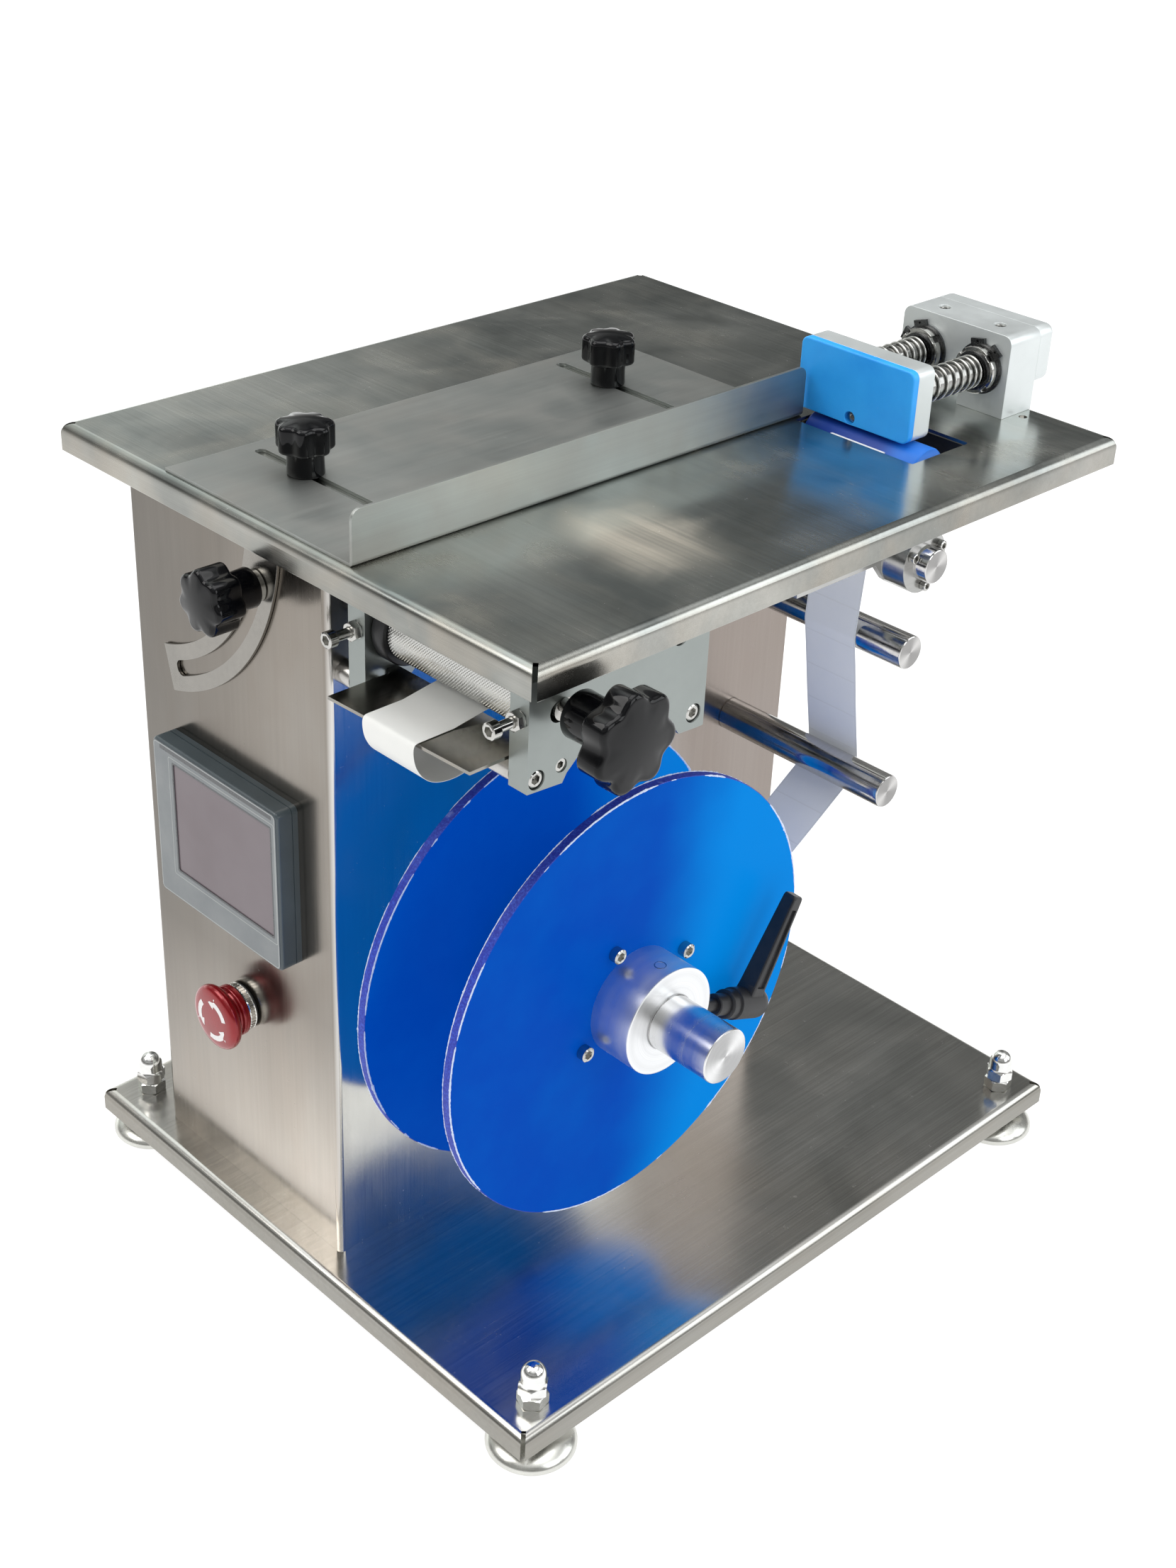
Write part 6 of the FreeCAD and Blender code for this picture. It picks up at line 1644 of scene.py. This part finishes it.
def dome_y(r):
    tab = [(h, rr) for h, rr in hp[11:]]
    for (h0, r0), (h1, r1) in zip(tab[:-1], tab[1:]):
        if r1 <= r <= r0:
            f = (r0 - r) / (r0 - r1)
            return -9.1 - (h0 + (h1 - h0) * f) - 0.06
    return -18.55


for s in range(3):
    a0 = math.radians(18 + 120 * s)
    a1 = a0 + math.radians(62)
    n = 20
    vs, fs = [], []
    for k in range(n + 1):
        a = a0 + (a1 - a0) * k / n
        for r in (11.0, 12.9, 14.8):
            vs.append((EX + r * math.cos(a), dome_y(r), EZ + r * math.sin(a)))
    for k in range(n):
        for q in range(2):
            fs.append((k * 3 + q, k * 3 + q + 1, k * 3 + q + 4, k * 3 + q + 3))
    o = len(vs)
    ah = a1 + math.radians(26)
    for (r, a) in ((8.8, a1), (12.9, a1), (17.0, a1), (12.4, ah)):
        vs.append((EX + r * math.cos(a), dome_y(r), EZ + r * math.sin(a)))
    fs += [(o, o + 1, o + 3), (o + 1, o + 2, o + 3)]
    g.add(vs, fs, 1)
obj(g, "stop_button_head", [RED, WHITEPRINT], body_of("estop_head"), "red_plastic", "estop_head", smooth=40)


# ------------------------------------------------------------------
# paper web
# ------------------------------------------------------------------
WX0, WX1 = -111.0, -70.0
REELC = (RY, RZ)


def line_tan(c1, r1, s1, c2, r2, s2):
    dx, dy = c2[0] - c1[0], c2[1] - c1[1]
    dd = math.hypot(dx, dy)
    th = math.atan2(dy, dx) - math.asin((s2 * r2 - s1 * r1) / dd)
    n_ = (-math.sin(th), math.cos(th))
    return ((c1[0] - n_[0] * s1 * r1, c1[1] - n_[1] * s1 * r1),
            (c2[0] - n_[0] * s2 * r2, c2[1] - n_[1] * s2 * r2))


def wrap(c, qa, qb, n, ccw):
    a0 = math.degrees(math.atan2(qa[1] - c[1], qa[0] - c[0]))
    a1 = math.degrees(math.atan2(qb[1] - c[1], qb[0] - c[0]))
    if ccw and a1 < a0:
        a1 += 360
    if not ccw and a1 > a0:
        a1 -= 360
    r = math.hypot(qa[0] - c[0], qa[1] - c[1])
    return [(c[0] + r * math.cos(math.radians(a0 + (a1 - a0) * k / n)), c[1] + r * math.sin(math.radians(a0 + (a1 - a0) * k / n)))
            for k in range(n + 1)]


def resample(pts, step):
    out = [pts[0]]
    for p, q in zip(pts[:-1], pts[1:]):
        L_ = math.hypot(q[0] - p[0], q[1] - p[1])
        n = max(1, int(L_ / step))
        for k in range(1, n + 1):
            out.append((p[0] + (q[0] - p[0]) * k / n, p[1] + (q[1] - p[1]) * k / n))
    return out


def sheet_mesh(name, path, x0, x1, t, mat, body, slot, node, wave=None, nx=8):
    """thin strip along a (y, z) path; both faces and the cut edges; u across, v along in metres"""
    n = len(path)
    nrm, s = [], [0.0]
    for k in range(n):
        p, q = path[max(0, k - 1)], path[min(n - 1, k + 1)]
        dx, dz = q[0] - p[0], q[1] - p[1]
        L_ = math.hypot(dx, dz) or 1.0
        nrm.append((-dz / L_, dx / L_))
        if k:
            s.append(s[-1] + math.hypot(path[k][0] - path[k - 1][0], path[k][1] - path[k - 1][1]))
    g = G()
    total = s[-1]
    for sgn in (1, -1):
        for k in range(n):
            for i in range(nx + 1):
                u = i / nx
                x = x0 + (x1 - x0) * u
                w_ = wave(u, s[k], total) if wave else 0.0
                off = sgn * t / 2 + w_
                g.v.append(Vector((x, path[k][0] + nrm[k][0] * off, path[k][1] + nrm[k][1] * off)))
    W = nx + 1
    half = n * W
    uvs = []
    for sgn in (0, 1):
        for k in range(n - 1):
            for i in range(nx):
                a = sgn * half + k * W + i
                f = (a, a + 1, a + W + 1, a + W)
                g.f.append(f if sgn == 0 else tuple(reversed(f)))
                g.m.append(0)
    for k in range(n - 1):
        for i in (0, nx):
            a, b_ = k * W + i, (k + 1) * W + i
            g.f.append((a, b_, half + b_, half + a))
            g.m.append(0)
    for k in (0, n - 1):
        for i in range(nx):
            a, b_ = k * W + i, k * W + i + 1
            g.f.append((a, b_, half + b_, half + a))
            g.m.append(0)
    me = bpy.data.meshes.new(name)
    me.from_pydata([((v.x + OFF[0]) * MM, (v.y + OFF[1]) * MM, (v.z + OFF[2]) * MM) for v in g.v], [], g.f)
    me.materials.append(mat)
    uvl = me.uv_layers.new(name="web")
    for p in me.polygons:
        p.use_smooth = True
        for li in p.loop_indices:
            vi = me.loops[li].vertex_index % half
            uvl.data[li].uv = ((vi % W) / nx, s[vi // W] * MM)
    me.update()
    bm = bmesh.new()
    bm.from_mesh(me)
    bmesh.ops.recalc_face_normals(bm, faces=bm.faces)
    bm.to_mesh(me)
    bm.free()
    me.set_sharp_from_angle(angle=math.radians(60))
    o = bpy.data.objects.new(name, me)
    bpy.context.scene.collection.objects.link(o)
    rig.ride(o, body)
    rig.replaces(o, node)
    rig.slot(o, slot)
    return o, total


TW = 0.4
rr_ = 11.0 + 0.3 + TW / 2
topp = (347.0, -0.9)
pA, pB = line_tan(REELC, 65.0 + 0.3 + TW / 2, 1, RODS[0], rr_, 1)
pC, pD = line_tan(RODS[0], rr_, 1, RODS[1], rr_, -1)
pE, pF = line_tan(RODS[1], rr_, -1, topp, 0.0, 1)
run = [pA] + wrap(RODS[0], pB, pC, 20, True) + wrap(RODS[1], pD, pE, 10, False) + [topp]
run = resample(run, 4.0)
web, LW = sheet_mesh("label_web", run, WX0, WX1, 0.2, PAPER, body_of("web_supply"), "label_paper", "web_supply",
                     wave=lambda u, s_, T_: 0.25 * math.sin(2 * math.pi * s_ / 63.0) * (0.3 + abs(u - 0.5)) * (1 if 20 < s_ < T_ - 12 else 0) * 0.6)
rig.sheet(web, flat=(0.041, round(LW * MM, 4)), held="stretched", rests_on=["guide_rods", "label_roll"])

DR, KC = (79.4, -44.0), (KY, KZ)
rd = 20.0 + 0.25 + TW / 2
rk = 19.5 + 0.25 + TW / 2
e2 = (342.8, -3.55)
qA, qB = line_tan(e2, 0.0, 1, DR, rd, 1)
nip = (DR[0] - rd, DR[1])
w1 = wrap(DR, qB, nip, 20, True)
tip2 = (10.0, -68.45)
qC, qD = line_tan(KC, rk, -1, tip2, 0.0, 1)
w2 = wrap(KC, (KC[0] + rk, KC[1]), qC, 24, False)


def smooth_curve(pts, n):
    """Catmull-Rom through the points"""
    out = []
    P_ = [pts[0]] + list(pts) + [pts[-1]]
    for k in range(1, len(P_) - 2):
        p0, p1, p2, p3 = P_[k - 1], P_[k], P_[k + 1], P_[k + 2]
        for j in range(n):
            t = j / n
            q = []
            for c in (0, 1):
                q.append(0.5 * ((2 * p1[c]) + (-p0[c] + p2[c]) * t + (2 * p0[c] - 5 * p1[c] + 4 * p2[c] - p3[c]) * t * t
                                + (-p0[c] + 3 * p1[c] - 3 * p2[c] + p3[c]) * t ** 3))
            out.append(tuple(q))
    out.append(pts[-1])
    return out


curl = smooth_curve([(-13.0, -68.45), (-15.6, -68.9), (-17.0, -71.5), (-16.7, -77), (-15.0, -83), (-11.0, -89.5), (-5.0, -94.5), (3.0, -97.3),
                     (12.0, -98.0), (21.0, -96.6), (29.0, -93.2)], 4)
lin = [(346.2, -0.9), (345.3, -0.95), e2] + w1 + w2[1:] + [tip2] + curl
lin = resample(lin, 4.0)
liner, LL = sheet_mesh("liner_strip", lin, WX0, WX1, 0.2, LINER, body_of("liner_return"), "label_paper", "liner_return")
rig.sheet(liner, flat=(0.041, round(LL * MM, 4)), held="stretched", rests_on=["drive_roller", "knurled_roller", "guide_plate"])

# ------------------------------------------------------------------
# camera, floor, light
# ------------------------------------------------------------------
az, el, roll = math.radians(44.7163), math.radians(30.3636), math.radians(2.6333)
back = Vector((math.sin(az) * math.cos(el), -math.cos(az) * math.cos(el), math.sin(el)))
f_ = -back
r_ = f_.cross(Vector((0, 0, 1))).normalized()
u_ = r_.cross(f_)
X = math.cos(roll) * r_ + math.sin(roll) * u_
Y = -math.sin(roll) * r_ + math.cos(roll) * u_
rot = Matrix((X, Y, back)).transposed().to_4x4()
cam_data = bpy.data.cameras.new("camera")
cam_data.lens = 50.17
cam_data.sensor_width = 36.0
cam_data.sensor_fit = "AUTO"
cam_data.clip_start, cam_data.clip_end = 0.02, 60.0
cam = bpy.data.objects.new("camera", cam_data)
cam.matrix_world = Matrix.Translation(Vector((0.86121, -0.86878, 1.00620))) @ rot
bpy.context.scene.collection.objects.link(cam)
bpy.context.scene.camera = cam

me = bpy.data.meshes.new("floor")
s_ = 30.0
me.from_pydata([(-s_, -s_, 0), (s_, -s_, 0), (s_, s_, 0), (-s_, s_, 0)], [], [(0, 1, 2, 3)])
fl = bpy.data.objects.new("floor", me)
fm = Mat("pale_floor")
fn = fm.noise(1.5, 3.0, 0.5)
fm.set(base=fm.mix(fn, (0.34, 0.34, 0.34), (0.37, 0.37, 0.37)), rough=0.9, spec=0.0, emit=(1.0, 1.0, 1.0), emit_s=0.84)
me.materials.append(fm.m)
bpy.context.scene.collection.objects.link(fl)
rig.stage(fl)


def area(name, loc, target, size, power, color=(1, 1, 1), sy=None):
    ld = bpy.data.lights.new(name, "AREA")
    ld.energy = power
    ld.color = color
    ld.size = size
    if sy:
        ld.shape = "RECTANGLE"
        ld.size_y = sy
    lo = bpy.data.objects.new(name, ld)
    lo.location = loc
    lo.rotation_mode = "QUATERNION"
    lo.rotation_quaternion = (Vector(target) - Vector(loc)).to_track_quat("-Z", "Y")
    bpy.context.scene.collection.objects.link(lo)
    return lo


area("key", (-0.9, -1.5, 2.3), (0, 0, 0.3), 1.5, 24.0, (1.0, 0.98, 0.96))
area("fill", (2.2, 0.2, 1.5), (0, 0, 0.25), 1.3, 14.0, (0.96, 0.98, 1.0))
area("top", (0.3, 0.1, 2.8), (0, 0, 0.2), 1.8, 20.0, (1.0, 1.0, 1.0))
area("window", (1.7, 1.75, 1.45), (0, 0, 0.1), 1.5, 16.0, (0.95, 0.98, 1.0))

w = bpy.data.worlds.new("studio")
bpy.context.scene.world = w
w.use_nodes = True
nt = w.node_tree
bg = nt.nodes["Background"]
tc = nt.nodes.new("ShaderNodeTexCoord")
sep = nt.nodes.new("ShaderNodeSeparateXYZ")
nt.links.new(tc.outputs["Generated"], sep.inputs[0])
ramp = nt.nodes.new("ShaderNodeValToRGB")
el_ = ramp.color_ramp.elements
el_[0].position, el_[0].color = 0.0, (0.90, 0.90, 0.90, 1)
el_[1].position, el_[1].color = 1.0, (1.25, 1.26, 1.28, 1)
for p_, c_ in ((0.10, (0.55, 0.55, 0.54)), (0.24, (0.22, 0.215, 0.21)), (0.34, (0.19, 0.195, 0.19)), (0.42, (0.42, 0.425, 0.42)),
               (0.53, (0.42, 0.425, 0.42)), (0.64, (0.26, 0.26, 0.255)), (0.74, (0.55, 0.56, 0.56)), (0.86, (1.30, 1.31, 1.32))):
    e_ = el_.new(p_)
    e_.color = c_ + (1,)
nt.links.new(sep.outputs["Z"], ramp.inputs["Fac"])
nz_ = nt.nodes.new("ShaderNodeTexNoise")
nz_.inputs["Scale"].default_value = 3.2
nz_.inputs["Detail"].default_value = 2.0
nt.links.new(tc.outputs["Generated"], nz_.inputs["Vector"])
mx = nt.nodes.new("ShaderNodeMix")
mx.data_type = "RGBA"
mx.blend_type = "MULTIPLY"
rp2 = nt.nodes.new("ShaderNodeValToRGB")
rp2.color_ramp.elements[0].position, rp2.color_ramp.elements[0].color = 0.36, (0.80, 0.79, 0.78, 1)
rp2.color_ramp.elements[1].position, rp2.color_ramp.elements[1].color = 0.64, (1.20, 1.20, 1.20, 1)
nt.links.new(nz_.outputs["Fac"], rp2.inputs["Fac"])
fac = [s for s in mx.inputs if s.name == "Factor" and s.enabled][0]
fac.default_value = 1.0
nt.links.new(ramp.outputs["Color"], [s for s in mx.inputs if s.name == "A" and s.enabled][0])
nt.links.new(rp2.outputs["Color"], [s for s in mx.inputs if s.name == "B" and s.enabled][0])
# a dark stretch between two bright ones behind the machine
behind = nt.nodes.new("ShaderNodeVectorMath")
behind.operation = "DOT_PRODUCT"
nt.links.new(tc.outputs["Generated"], behind.inputs[0])
behind.inputs[1].default_value = (-0.695, 0.719, 0.0)
across = nt.nodes.new("ShaderNodeVectorMath")
across.operation = "DOT_PRODUCT"
nt.links.new(tc.outputs["Generated"], across.inputs[0])
across.inputs[1].default_value = (-0.719, -0.695, 0.0)
amap = nt.nodes.new("ShaderNodeMapRange")
amap.inputs["From Min"].default_value = -0.30
amap.inputs["From Max"].default_value = 0.30
nt.links.new(across.outputs["Value"], amap.inputs["Value"])
ar = nt.nodes.new("ShaderNodeValToRGB")
ae = ar.color_ramp.elements
ae[0].position, ae[0].color = 0.0, (0.8, 0.8, 0.8, 1)
ae[1].position, ae[1].color = 1.0, (2.6, 2.7, 2.65, 1)
for p_, c_ in ((0.10, 0.50), (0.26, 0.36), (0.40, 0.46), (0.50, 0.58), (0.62, 0.80), (0.84, 1.8)):
    e_ = ae.new(p_)
    e_.color = (c_, c_ * 1.01, c_ * 1.005, 1)
nt.links.new(amap.outputs["Result"], ar.inputs["Fac"])
bm_ = nt.nodes.new("ShaderNodeMapRange")
bm_.inputs["From Min"].default_value = 0.25
bm_.inputs["From Max"].default_value = 0.55
nt.links.new(behind.outputs["Value"], bm_.inputs["Value"])
m2 = nt.nodes.new("ShaderNodeMix")
m2.data_type = "RGBA"
m2.blend_type = "MULTIPLY"
nt.links.new(bm_.outputs["Result"], [s for s in m2.inputs if s.name == "Factor" and s.enabled][0])
nt.links.new([s for s in mx.outputs if s.enabled][0], [s for s in m2.inputs if s.name == "A" and s.enabled][0])
nt.links.new(ar.outputs["Color"], [s for s in m2.inputs if s.name == "B" and s.enabled][0])
nt.links.new([s for s in m2.outputs if s.enabled][0], bg.inputs["Color"])
bg.inputs["Strength"].default_value = 1.0

vs_ = bpy.context.scene.view_settings
vs_.view_transform = "Standard"
vs_.look = "None"
vs_.exposure = 0.0

VIS_LO, VIS_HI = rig.bounds()
with open("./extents.json", "w") as fh:
    json.dump({"cad": [list(CAD_LO), list(CAD_HI)], "visual": [list(VIS_LO), list(VIS_HI)]}, fh)
